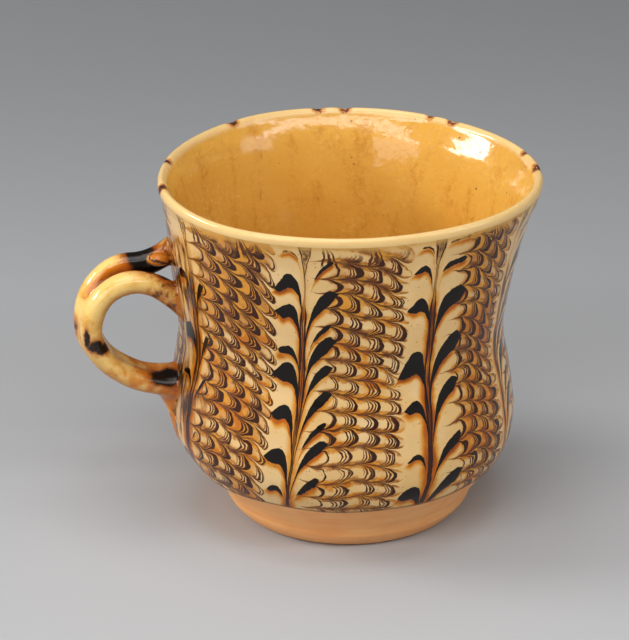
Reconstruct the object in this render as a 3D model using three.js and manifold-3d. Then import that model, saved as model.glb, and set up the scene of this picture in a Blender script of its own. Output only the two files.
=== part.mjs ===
// A small hand-thrown earthenware mug: a clay pot with a turned foot, a feathered slip coat outside,
// a honey glaze lining inside, and a handle made of two rolls of clay laid side by side.
// Millimetres, +Z up. The origin is the centre of the flat base and the handle points along -X.
import * as THREE from "three";
import { mergeVertices } from "three/addons/utils/BufferGeometryUtils.js";
import Module from "manifold-3d";

const wasm = await Module();
wasm.setup();

// Layers of the wall, each measured square to its surface
const COAT_THICKNESS = 0.9; // coloured slip and the clear glaze over it
const LINING_THICKNESS = 0.6;
const WALL_THICKNESS = 5.1; // the whole wall at the belly
const LIP_THICKNESS = 3.8; // the whole wall where it ends in the rounded lip
const THINNING_FROM = 0.5; // share of the way up the outside where the wall starts to thin
const SEAT_GAP = 0.3; // hairline between pieces that touch

// The bare turned foot, from the flat base up to the edge of the coat
const BASE_RADIUS = 29.4;
const TOE = { radius: 32.1, height: 3.1 };
const FOOT = { radius: 34.7, height: 8.4 };

// The finished outside above the foot: a radius and the height that it lies at
const COAT_EDGE = { radius: 41.5, height: 15.8 };
const BELLY_TURN = { radius: 44.4, height: 21.2 };
const BELLY = { radius: 45.7, height: 27.5 };
const BELLY_TOP = { radius: 44.9, height: 38.5 };
const WAIST = { radius: 42.95, height: 51.5 };
const NECK = { radius: 44.3, height: 64 };
const FLARE = { radius: 47.4, height: 83.5 };
const MOUTH = { radius: 49.9, height: 91.8 };

// The hollow inside
const FLOOR_THICKNESS = 7.2;
const FLOOR_FLAT_RADIUS = 13; // flat middle of the floor, before it turns up into the wall

// How the hand-thrown pot departs from a true round
const LEAN = 1.9; // the waist stands off the foot's axis, towards the handle
const LEAN_FROM = 10;
const LEAN_TO = 89;
const LEAN_FULLNESS = 0.7; // below 1 the lean comes in sooner and stays longer
const RIM_LOBE = 0.9; // the three soft corners of the mouth
const RIM_LOBE_TURN = -26; // degrees from +X to the first corner
const RIM_LOBE_FROM = 56; // height where the corners start to show

// The handle's loop, seen from the side: how far its centre line stands off the wall, and heights
const LOOP = { standOff: 24, height: 56 }; // the far side of the loop
const CROWN = { standOff: 10.6, height: 69 }; // the top of the loop
const HEEL = { standOff: -1.6, height: 38.4 }; // where the rolls leave the wall at the bottom
const FRONT_ROOT_HEIGHT = 58.6; // where the front roll runs into the wall
const BACK_ROOT_HEIGHT = 71.6;
const BACK_LIFT = 0.9; // the back roll rides a little higher over the crown
const ROOT_DEPTH = 5; // how far a roll is followed into the wall before it is trimmed to it
const FORK_PULL = [0.34, 0.66]; // shares of the way from crown to root where the curve is held
const FORK_FALL = 0.38; // share of the fall to the root that is done by the second of them

// The two rolls of clay
const ROLL_THICKNESS = { heel: 6.3, crown: 6.8 }; // inside to outside of the loop
const ROLL_OUTER_HALF = 3.3; // centre of a roll to its free side
const ROLL_SPACING = { heel: 5.4, crown: 7.2, root: 9.6 }; // centre to centre
const ROLL_SPREAD = { heel: 0.25, crown: 0.62, fork: 0.8 }; // share of the run where the spacing changes
const ROOT_FLARE = { heel: 0.3, front: 0.04, back: 0.3 }; // how much an end widens where it is pressed on
const FLARE_LENGTH = 2.6; // distance from the wall over which that fades
const INNER_SIDE_POWER = 0.7; // below 1 squares off the side where the rolls are pressed together

// The curl of clay tucked under the back roll's root
const WAD = { standOff: 1.2, height: 70.9, side: -0.2, halfReach: 2.6, halfWidth: 2.5, halfHeight: 2.1 };

// The tail of clay smeared down the wall below the handle
const TAIL_TOP = { height: 36.4, proud: 5.6, halfWidth: 4.7 };
const TAIL_TIP = { height: 22.5, proud: 0.7, halfWidth: 1.6 };
const TAIL_HOLLOW = 2.6; // above 1 thins the tail quickly below the joint

// Fineness of the faceted surfaces
const TURN_STEPS = 48;
const OUTLINE_STEPS = 14;
const FOOT_STEPS = 6;
const FLOOR_STEPS = 5;
const LIP_STEPS = 5;
const ROLL_RINGS = 30;
const ROLL_SIDES = 14;
const TAIL_RINGS = 10;
const WAD_STEPS = 12;

const FINISHES = {
  bareClay: { color: 0xcf8d58, roughness: 0.75 },
  featheredSlip: { color: 0x9a6f3d, roughness: 0.16 },
  honeyGlaze: { color: 0xc8963e, roughness: 0.14 },
  handleGlaze: { color: 0xd89a45, roughness: 0.14 },
};

// Curves of the finished outside, as (radius, height) in the x and y of a flat curve
const station = ({ radius, height }) => new THREE.Vector3(radius, height, 0);
const footCurve = new THREE.CatmullRomCurve3(
  [
    new THREE.Vector3(BASE_RADIUS, 0, 0),
    station(TOE),
    station(FOOT),
    station({ radius: COAT_EDGE.radius - COAT_THICKNESS - SEAT_GAP, height: COAT_EDGE.height - SEAT_GAP }),
  ],
  false,
  "centripetal",
);
const outline = new THREE.CatmullRomCurve3(
  [COAT_EDGE, BELLY_TURN, BELLY, BELLY_TOP, WAIST, NECK, FLARE, MOUTH].map(station),
  false,
  "centripetal",
);

// A point of the outline moved square to the wall, inwards for a positive depth.
function outlinePoint(share, depth) {
  const p = outline.getPointAt(share);
  const t = outline.getTangentAt(share);
  return new THREE.Vector2(p.x - t.y * depth, p.y + t.x * depth);
}

// The outline from bottom to top at a depth below the finished outside; depth may change with height.
function wallLine(depthAt, upTo = 1) {
  return Array.from({ length: OUTLINE_STEPS + 1 }, (_, i) => {
    const share = (i / OUTLINE_STEPS) * upTo;
    return outlinePoint(share, depthAt(share));
  });
}

// Depth of the inner face of the wall: full at the belly, thinner towards the lip.
function innerDepth(share) {
  return THREE.MathUtils.lerp(WALL_THICKNESS, LIP_THICKNESS, THREE.MathUtils.smoothstep(share, THINNING_FROM, 1));
}

// The rounded lip between an outer and an inner depth at the top of the outline, outside to inside.
function lipArc(outerDepth, innerDepthHere) {
  const middle = outlinePoint(1, (outerDepth + innerDepthHere) / 2);
  const radius = (innerDepthHere - outerDepth) / 2;
  const t = outline.getTangentAt(1);
  const start = Math.atan2(-t.x, t.y);
  return Array.from({ length: LIP_STEPS - 1 }, (_, i) => {
    const a = start + (Math.PI * (i + 1)) / LIP_STEPS;
    return new THREE.Vector2(middle.x + radius * Math.cos(a), middle.y + radius * Math.sin(a));
  });
}

// The turn from the flat floor into the wall, outside to inside, ending on the axis.
function floorLine(wallFoot, floorHeight, extraDepth) {
  const slope = outline.getTangentAt(0);
  const run = ((wallFoot.y - floorHeight) * slope.x) / slope.y;
  const corner = new THREE.Vector2(wallFoot.x - run, floorHeight);
  const flat = new THREE.Vector2(FLOOR_FLAT_RADIUS - extraDepth, floorHeight);
  const turn = new THREE.QuadraticBezierCurve(wallFoot, corner, flat);
  return [...turn.getPoints(FLOOR_STEPS).slice(1), new THREE.Vector2(0, floorHeight)];
}

// A hand-thrown pot's departure from round: x and y of a point at a height.
function throwWarp(x, y, z) {
  const rise = THREE.MathUtils.smoothstep(z, RIM_LOBE_FROM, MOUTH.height);
  const angle = Math.atan2(y, x) - THREE.MathUtils.degToRad(RIM_LOBE_TURN);
  const swell = 1 + (RIM_LOBE / MOUTH.radius) * rise * Math.cos(3 * angle);
  const along = THREE.MathUtils.clamp((z - LEAN_FROM) / (LEAN_TO - LEAN_FROM), 0, 1);
  return [x * swell - LEAN * Math.sin(Math.PI * along) ** LEAN_FULLNESS, y * swell];
}

// Joins shared corners and drops the collapsed faces at a pole, so that a closed shape is one skin.
function closedSkin(geometry) {
  const plain = geometry.index ? geometry.toNonIndexed() : geometry.clone();
  plain.deleteAttribute("normal");
  plain.deleteAttribute("uv");
  const merged = mergeVertices(plain, 1e-4);
  const kept = [];
  for (let i = 0; i < merged.index.count; i += 3) {
    const [a, b, c] = [0, 1, 2].map((k) => merged.index.getX(i + k));
    if (a !== b && b !== c && c !== a) kept.push(a, b, c);
  }
  return merged.setIndex(kept);
}

// Turns a closed profile, drawn anticlockwise with the radius to the right, into a thrown solid.
function thrown(profile) {
  const geometry = closedSkin(new THREE.LatheGeometry(profile, TURN_STEPS));
  geometry.rotateX(Math.PI / 2);
  const place = geometry.attributes.position;
  for (let i = 0; i < place.count; i++) {
    const [x, y] = throwWarp(place.getX(i), place.getY(i), place.getZ(i));
    place.setXY(i, x, y);
  }
  return geometry;
}

function solidOf(geometry) {
  const skin = closedSkin(geometry);
  return new wasm.Manifold(
    new wasm.Mesh({
      numProp: 3,
      vertProperties: Float32Array.from(skin.attributes.position.array),
      triVerts: Uint32Array.from(skin.index.array),
    }),
  );
}

function geometryOf(solid) {
  const mesh = solid.getMesh();
  const corners = new Float32Array(mesh.numVert * 3);
  for (let i = 0; i < mesh.numVert; i++) {
    corners.set(mesh.vertProperties.subarray(i * mesh.numProp, i * mesh.numProp + 3), i * 3);
  }
  const geometry = new THREE.BufferGeometry();
  geometry.setAttribute("position", new THREE.BufferAttribute(corners, 3));
  geometry.setIndex(new THREE.BufferAttribute(Uint32Array.from(mesh.triVerts), 1));
  geometry.computeVertexNormals();
  return geometry;
}

// A closed skin over a row of equal rings of points, with a flat fan over each end.
function lofted(rings) {
  const sides = rings[0].length;
  const middle = (ring) => ring.reduce((sum, p) => sum.add(p), new THREE.Vector3()).divideScalar(sides);
  const points = [...rings.flat(), middle(rings[0]), middle(rings.at(-1))];
  const firstPole = rings.length * sides;
  const faces = [];
  for (let k = 0; k < sides; k++) {
    const next = (k + 1) % sides;
    faces.push(firstPole, next, k);
    for (let r = 0; r < rings.length - 1; r++) {
      const low = r * sides;
      const high = low + sides;
      faces.push(low + k, low + next, high + next, low + k, high + next, high + k);
    }
    const last = firstPole - sides;
    faces.push(firstPole + 1, last + k, last + next);
  }
  return new THREE.BufferGeometry().setFromPoints(points).setIndex(faces);
}

// The clay pot: bare foot, wall under the coat, thin lip, and the hollow down to the floor.
function thrownBody() {
  const underCoat = COAT_THICKNESS + SEAT_GAP;
  const behindLining = (share) => innerDepth(share) - LINING_THICKNESS - SEAT_GAP;
  const inner = wallLine(behindLining);
  const floorHeight = FLOOR_THICKNESS - LINING_THICKNESS - SEAT_GAP;
  return thrown([
    new THREE.Vector2(0, 0),
    ...footCurve.getSpacedPoints(FOOT_STEPS).map((p) => new THREE.Vector2(p.x, p.y)),
    ...wallLine(() => underCoat),
    ...lipArc(underCoat, behindLining(1)),
    ...inner.toReversed(),
    ...floorLine(inner[0], floorHeight, LINING_THICKNESS + SEAT_GAP),
  ]);
}

// The slip coat with its clear glaze, from above the foot to just under the lip.
function slipCoat() {
  const top = 1 - SEAT_GAP / outline.getLength();
  const outer = wallLine(() => 0, top);
  const inner = wallLine(() => COAT_THICKNESS, top);
  return thrown([...outer, ...inner.toReversed(), outer[0]]);
}

// The honey glaze that lines the hollow and runs over the lip to the outside.
function glazeLining() {
  const inner = wallLine(innerDepth);
  const back = wallLine((share) => innerDepth(share) - LINING_THICKNESS);
  const underside = floorLine(back[0], FLOOR_THICKNESS - LINING_THICKNESS, LINING_THICKNESS);
  const floor = floorLine(inner[0], FLOOR_THICKNESS, 0);
  return thrown([
    ...underside.toReversed(),
    ...back,
    ...lipArc(LINING_THICKNESS, LIP_THICKNESS - LINING_THICKNESS).toReversed(),
    outlinePoint(1, LINING_THICKNESS),
    outlinePoint(1, 0),
    ...lipArc(0, LIP_THICKNESS),
    ...inner.toReversed(),
    ...floor,
  ]);
}

// The pot's outside grown by the hairline gap: what is pressed on to the wall is trimmed with it.
function wallEnvelope() {
  const skin = wallLine(() => -SEAT_GAP);
  const foot = new THREE.Vector2(0, skin[0].y);
  return solidOf(thrown([foot, ...skin, new THREE.Vector2(0, skin.at(-1).y)]));
}

// Distance of the trimmed wall from the axis on the handle's side at a height.
function wallReach(height) {
  const line = wallLine(() => -SEAT_GAP);
  const above = line.findIndex((p) => p.y > height);
  const [low, high] = [line[above - 1], line[above]];
  const radius = THREE.MathUtils.mapLinear(height, low.y, high.y, low.x, high.x);
  return -throwWarp(-radius, 0, height)[0];
}

// One roll's run seen from the side, as (reach, height): up from the heel, round and into its root.
function rollRun(rootHeight, lift) {
  const heelReach = wallReach(HEEL.height) + HEEL.standOff;
  const loopReach = wallReach(LOOP.height) + LOOP.standOff;
  const crownReach = wallReach(CROWN.height) + CROWN.standOff;
  const crownHeight = CROWN.height + lift;
  const rootReach = wallReach(rootHeight) - ROOT_DEPTH;
  const run = new THREE.Path();
  run.moveTo(heelReach + HEEL.standOff - ROOT_DEPTH, HEEL.height);
  run.lineTo(heelReach, HEEL.height);
  const lower = [loopReach - heelReach, LOOP.height - HEEL.height];
  run.absellipse(heelReach, LOOP.height, ...lower, -Math.PI / 2, 0, false);
  const upper = [loopReach - crownReach, crownHeight - LOOP.height];
  run.absellipse(crownReach, LOOP.height, ...upper, 0, Math.PI / 2, false);
  const gap = crownReach - rootReach;
  const fall = rootHeight - crownHeight;
  const [leave, arrive] = FORK_PULL;
  const arriveHeight = crownHeight + FORK_FALL * fall;
  run.bezierCurveTo(
    crownReach - leave * gap,
    crownHeight,
    crownReach - arrive * gap,
    arriveHeight,
    rootReach,
    rootHeight,
  );
  return run;
}

// Centre to centre of the two rolls at a share of the run from the heel to the roots.
function rollSpacing(share) {
  const rise = THREE.MathUtils.smoothstep(share, ROLL_SPREAD.heel, ROLL_SPREAD.crown);
  const fork = THREE.MathUtils.smoothstep(share, ROLL_SPREAD.fork, 1);
  const run = THREE.MathUtils.lerp(ROLL_SPACING.heel, ROLL_SPACING.crown, rise);
  return THREE.MathUtils.lerp(run, ROLL_SPACING.root, fork);
}

// A ring round the run: full on its free side, squared off where it is pressed to the other roll.
function rollRing(run, share, side, grow) {
  const centre = run.getPointAt(share);
  const along = run.getTangentAt(share);
  const spacing = rollSpacing(share);
  const length = run.getLength();
  const toWall = Math.min(share * length, (1 - share) * length) - ROOT_DEPTH;
  const rootFlare = side < 0 ? ROOT_FLARE.front : ROOT_FLARE.back;
  const widening = share * length < (1 - share) * length ? ROOT_FLARE.heel : rootFlare;
  const flare = 1 + widening * Math.exp(-Math.max(toWall, 0) / FLARE_LENGTH);
  const thick = THREE.MathUtils.lerp(ROLL_THICKNESS.heel, ROLL_THICKNESS.crown, share) / 2;
  const inPlane = thick * flare + grow;
  const outer = ROLL_OUTER_HALF * flare + grow;
  const inner = Math.min((spacing - SEAT_GAP) / 2, ROLL_OUTER_HALF) + grow;
  return Array.from({ length: ROLL_SIDES }, (_, k) => {
    const a = (2 * Math.PI * k) / ROLL_SIDES;
    const power = Math.cos(a) < 0 ? INNER_SIDE_POWER : 1;
    const across = Math.sign(Math.cos(a)) * Math.abs(Math.cos(a)) ** power;
    const square = Math.sign(Math.sin(a)) * Math.abs(Math.sin(a)) ** power * inPlane;
    const y = side * (spacing / 2 + across * (across < 0 ? inner : outer));
    return new THREE.Vector3(-(centre.x - along.y * square), y, centre.y + along.x * square);
  });
}

// A roll of clay before it is trimmed; side is -1 for the front roll and 1 for the back one.
function roll(side, grow = 0) {
  const run = side < 0 ? rollRun(FRONT_ROOT_HEIGHT, 0) : rollRun(BACK_ROOT_HEIGHT, BACK_LIFT);
  const rings = Array.from({ length: ROLL_RINGS + 1 }, (_, i) => rollRing(run, i / ROLL_RINGS, side, grow));
  return solidOf(lofted(side < 0 ? rings : rings.toReversed()));
}

// The curl of clay, a flattened ball leaning on the wall and the back roll.
function jointWad(grow = 0) {
  const ball = new THREE.SphereGeometry(1, WAD_STEPS, WAD_STEPS / 2);
  ball.rotateX(Math.PI / 2);
  ball.scale(WAD.halfReach + grow, WAD.halfWidth + grow, WAD.halfHeight + grow);
  ball.translate(-(wallReach(WAD.height) + WAD.standOff), WAD.side, WAD.height);
  return solidOf(ball);
}

// The tail: a half-round ridge that thins and narrows as it runs down the wall.
function jointTail() {
  const rings = Array.from({ length: TAIL_RINGS + 1 }, (_, i) => {
    const share = i / TAIL_RINGS;
    const fade = (1 - share) ** TAIL_HOLLOW;
    const height = THREE.MathUtils.lerp(TAIL_TOP.height, TAIL_TIP.height, share);
    const proud = THREE.MathUtils.lerp(TAIL_TIP.proud, TAIL_TOP.proud, fade);
    const wide = THREE.MathUtils.lerp(TAIL_TIP.halfWidth, TAIL_TOP.halfWidth, fade);
    const wall = wallReach(height);
    return Array.from({ length: ROLL_SIDES }, (_, k) => {
      const a = (2 * Math.PI * k) / ROLL_SIDES;
      const out = Math.max(Math.cos(a), 0) * proud + Math.min(Math.cos(a), 0) * TAIL_TOP.proud;
      return new THREE.Vector3(-(wall + out), Math.sin(a) * wide, height);
    });
  });
  return solidOf(lofted(rings));
}

function piece(name, geometry, finish) {
  const mesh = new THREE.Mesh(geometry, new THREE.MeshStandardMaterial({ metalness: 0, ...finish }));
  mesh.name = name;
  return mesh;
}

const envelope = wallEnvelope();
const bothRollsGrown = roll(-1, SEAT_GAP).add(roll(1, SEAT_GAP));
const trimmed = (solid) => geometryOf(solid.subtract(envelope));

const pot = new THREE.Group();
pot.add(
  piece("thrown_body", thrownBody(), FINISHES.bareClay),
  piece("slip_coat", slipCoat(), FINISHES.featheredSlip),
  piece("glaze_lining", glazeLining(), FINISHES.honeyGlaze),
);

const handle = new THREE.Group();
handle.add(
  piece("handle_front_roll", trimmed(roll(-1)), FINISHES.handleGlaze),
  piece("handle_back_roll", trimmed(roll(1)), FINISHES.handleGlaze),
  piece("upper_joint_wad", trimmed(jointWad().subtract(bothRollsGrown)), FINISHES.handleGlaze),
  piece("lower_joint_tail", trimmed(jointTail().subtract(bothRollsGrown)), FINISHES.handleGlaze),
);

const mug = new THREE.Group();
mug.add(pot, handle);

export default mug;
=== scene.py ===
"""Looks of a small hand-thrown mug: feathered slip outside, honey glaze inside, a handle of two clay rolls.

Every surface is worked out with numpy in millimetres, in the frame of the solids, and goes into its mesh in
metres. The pot is turned about +Z with its foot at z = 0, and the handle points along -X.
"""

import logging
import math
from dataclasses import dataclass, field
from enum import Enum
from functools import reduce
from typing import Any, Callable, Sequence

import bpy
import numpy as np
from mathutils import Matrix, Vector


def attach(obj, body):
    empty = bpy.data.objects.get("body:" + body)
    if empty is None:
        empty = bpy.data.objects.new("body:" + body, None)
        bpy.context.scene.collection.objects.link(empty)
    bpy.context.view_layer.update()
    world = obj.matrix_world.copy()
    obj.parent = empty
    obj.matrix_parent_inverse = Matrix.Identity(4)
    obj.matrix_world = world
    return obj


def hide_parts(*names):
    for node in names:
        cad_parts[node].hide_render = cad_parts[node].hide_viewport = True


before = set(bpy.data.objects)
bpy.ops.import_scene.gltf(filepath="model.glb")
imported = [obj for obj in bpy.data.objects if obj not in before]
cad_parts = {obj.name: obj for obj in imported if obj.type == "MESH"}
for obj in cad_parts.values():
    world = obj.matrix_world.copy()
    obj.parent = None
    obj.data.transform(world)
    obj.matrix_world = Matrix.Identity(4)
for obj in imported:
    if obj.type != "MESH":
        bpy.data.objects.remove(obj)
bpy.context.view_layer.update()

MM = 0.001
BODY = "root"
LOG = logging.getLogger("mug")


def smooth(x: np.ndarray, low: float, high: float) -> np.ndarray:
    """A soft step, t*t*(3 - 2t), from 0 at low to 1 at high."""
    t = np.clip((np.asarray(x, float) - low) / (high - low), 0, 1)
    return t * t * (3 - 2 * t)


def ripple(angle: np.ndarray, turns: Sequence[int], seed: float) -> np.ndarray:
    """A seamless wobble round the pot: cosines of whole numbers of waves, with fixed phases, from -1 to 1."""
    waves = [np.cos(n * angle + seed * (n + 1.7)) for n in turns]
    return sum(waves) / len(waves)


class Curve:
    """A smooth line through stations in a plane, read by its share of the length."""

    REACH = 0.004  # share of the length to either side over which a direction is taken

    def __init__(self, stations: Sequence[tuple[float, float]], fineness: int = 60) -> None:
        """Builds a centripetal Catmull-Rom curve.

        On each stretch it is the cubic that has the stations at its ends and, there, the slopes of the
        parabolas through neighbours, with knots spaced by the square root of the distance.

        Args:
            stations: points that the curve goes through.
            fineness: samples on each stretch.
        """
        p = np.asarray(stations, float)
        p = np.vstack([2 * p[0] - p[1], p, 2 * p[-1] - p[-2]])
        gap = np.sqrt(np.linalg.norm(np.diff(p, axis=0), axis=1))[:, None]
        a, b, c, d = p[:-3], p[1:-2], p[2:-1], p[3:]
        ga, gb, gc = gap[:-2], gap[1:-1], gap[2:]
        leave = ((b - a) / ga - (c - a) / (ga + gb) + (c - b) / gb) * gb
        reach = ((c - b) / gb - (d - b) / (gb + gc) + (d - c) / gc) * gb
        t = np.linspace(0, 1, fineness, endpoint=False)[None, :, None]
        b, c, leave, reach = (x[:, None] for x in (b, c, leave, reach))
        square, cube = 3 * (c - b) - 2 * leave - reach, 2 * (b - c) + leave + reach
        cubic = b + leave * t + square * t**2 + cube * t**3
        self.line = np.vstack([cubic.reshape(-1, 2), p[-2]])
        steps = np.linalg.norm(np.diff(self.line, axis=0), axis=1)
        run = np.concatenate([[0], np.cumsum(steps)])
        self.length = float(run[-1])
        self.share = run / run[-1]

    def at(self, share: np.ndarray) -> np.ndarray:
        """Points at shares of the length, as an array of pairs."""
        return np.stack([np.interp(share, self.share, self.line[:, k]) for k in (0, 1)], -1)

    def along(self, share: np.ndarray) -> np.ndarray:
        """Unit vectors along the curve at shares of the length."""
        ahead = self.at(np.clip(share + self.REACH, 0, 1)) - self.at(np.clip(share - self.REACH, 0, 1))
        return ahead / np.linalg.norm(ahead, axis=-1, keepdims=True)


def mesh_object(name: str, points: np.ndarray, faces: np.ndarray, crease: float = 50.0) -> bpy.types.Object:
    """Puts a surface into a mesh object at the origin.

    Args:
        name: the piece's name.
        points: corners in millimetres, one row each.
        faces: corner numbers, four for each face, with the last number repeated in a triangle.
        crease: angle in degrees above which an edge stays sharp.

    Returns:
        The smooth-shaded object.
    """
    mesh = bpy.data.meshes.new(name)
    triangles = faces[:, 3] == faces[:, 2]
    loops = [faces[~triangles].ravel(), faces[triangles][:, :3].ravel()]
    sizes = np.concatenate([np.full((~triangles).sum(), 4), np.full(triangles.sum(), 3)])
    mesh.vertices.add(len(points))
    mesh.vertices.foreach_set("co", (points * MM).astype(np.float32).ravel())
    mesh.loops.add(int(sizes.sum()))
    mesh.loops.foreach_set("vertex_index", np.concatenate(loops).astype(np.int32))
    mesh.polygons.add(len(sizes))
    starts = np.concatenate([[0], np.cumsum(sizes)[:-1]]).astype(np.int32)
    mesh.polygons.foreach_set("loop_start", starts)
    mesh.polygons.foreach_set("use_smooth", np.ones(len(sizes), bool))
    mesh.update(calc_edges=True)
    mesh.validate()
    mesh.set_sharp_from_angle(angle=math.radians(crease))
    obj = bpy.data.objects.new(name, mesh)
    bpy.context.scene.collection.objects.link(obj)
    return obj


def add_attribute(obj: bpy.types.Object, name: str, values: np.ndarray) -> None:
    """Gives each corner point of a piece a number that its finish reads."""
    attribute = obj.data.attributes.new(name, "FLOAT", "POINT")
    attribute.data.foreach_set("value", values.astype(np.float32).ravel())


def add_uv(obj: bpy.types.Object, name: str, pairs: np.ndarray) -> None:
    """Gives the piece a UV map from one pair for each face corner, in loop order."""
    layer = obj.data.uv_layers.new(name=name)
    layer.data.foreach_set("uv", pairs.astype(np.float32).ravel())


# Shader wiring


def tint(red: float, green: float, blue: float) -> tuple[float, float, float, float]:
    """A colour as the eye reads it, 0 to 255, as the linear light that shaders work in.

    Args:
        red, green, blue: the channels, 0 to 255.

    Returns:
        The linear channels, with full alpha.
    """
    channels = [c / 255 for c in (red, green, blue)]
    linear = [c / 12.92 if c <= 0.04045 else ((c + 0.055) / 1.055) ** 2.4 for c in channels]
    return (*linear, 1.0)


def math_node(operation: str, meaning: str, swapped: bool = False) -> Callable[..., "Wire"]:
    """Makes a method of Wire that adds a Math node.

    Args:
        operation: the node's operation.
        meaning: the method's docstring.
        swapped: whether the other value goes in first.

    Returns:
        The method, which takes the other value where the operation has one.
    """

    def method(self: "Wire", *other: Any) -> "Wire":
        """Stands here until the meaning takes its place."""
        values = [*other, self] if swapped else [self, *other]
        return self.wiring.node("ShaderNodeMath", {"operation": operation}, values)

    method.__doc__ = meaning
    return method


class Wire:
    """An output socket of a shader node that can be used in sums like a number."""

    def __init__(self, wiring: "Wiring", socket: bpy.types.NodeSocket) -> None:
        """Wraps a socket of one material's wiring."""
        self.wiring = wiring
        self.socket = socket

    __add__ = __radd__ = math_node("ADD", "This plus the other.")
    __sub__ = math_node("SUBTRACT", "This less the other.")
    __rsub__ = math_node("SUBTRACT", "The other less this.", swapped=True)
    __mul__ = __rmul__ = math_node("MULTIPLY", "This times the other.")
    __truediv__ = math_node("DIVIDE", "This divided by the other.")
    __rtruediv__ = math_node("DIVIDE", "The other divided by this.", swapped=True)
    __abs__ = math_node("ABSOLUTE", "This without its sign.")
    __gt__ = math_node("GREATER_THAN", "1 where this is above the other, else 0.")
    __lt__ = math_node("LESS_THAN", "1 where this is below the other, else 0.")
    least = math_node("MINIMUM", "The smaller of two.")
    most = math_node("MAXIMUM", "The larger of two.")
    floor = math_node("FLOOR", "The whole number below.")
    fraction = math_node("FRACT", "What is left above the whole number below.")
    cosine = math_node("COSINE", "The cosine of this, in radians.")
    root = math_node("SQRT", "The square root of this.")

    def fade(self, length: float) -> "Wire":
        """exp(-x / length): 1 at nothing, dying away over the length."""
        return self.wiring.node("ShaderNodeMath", {"operation": "POWER"}, [math.exp(-1.0 / length), self])

    def step(self, low: float, high: float) -> "Wire":
        """A soft step from 0 at low to 1 at high; low may be the larger."""
        values = {"Value": self, "From Min": low, "From Max": high}
        return self.wiring.node("ShaderNodeMapRange", {"interpolation_type": "SMOOTHSTEP"}, values)


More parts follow.
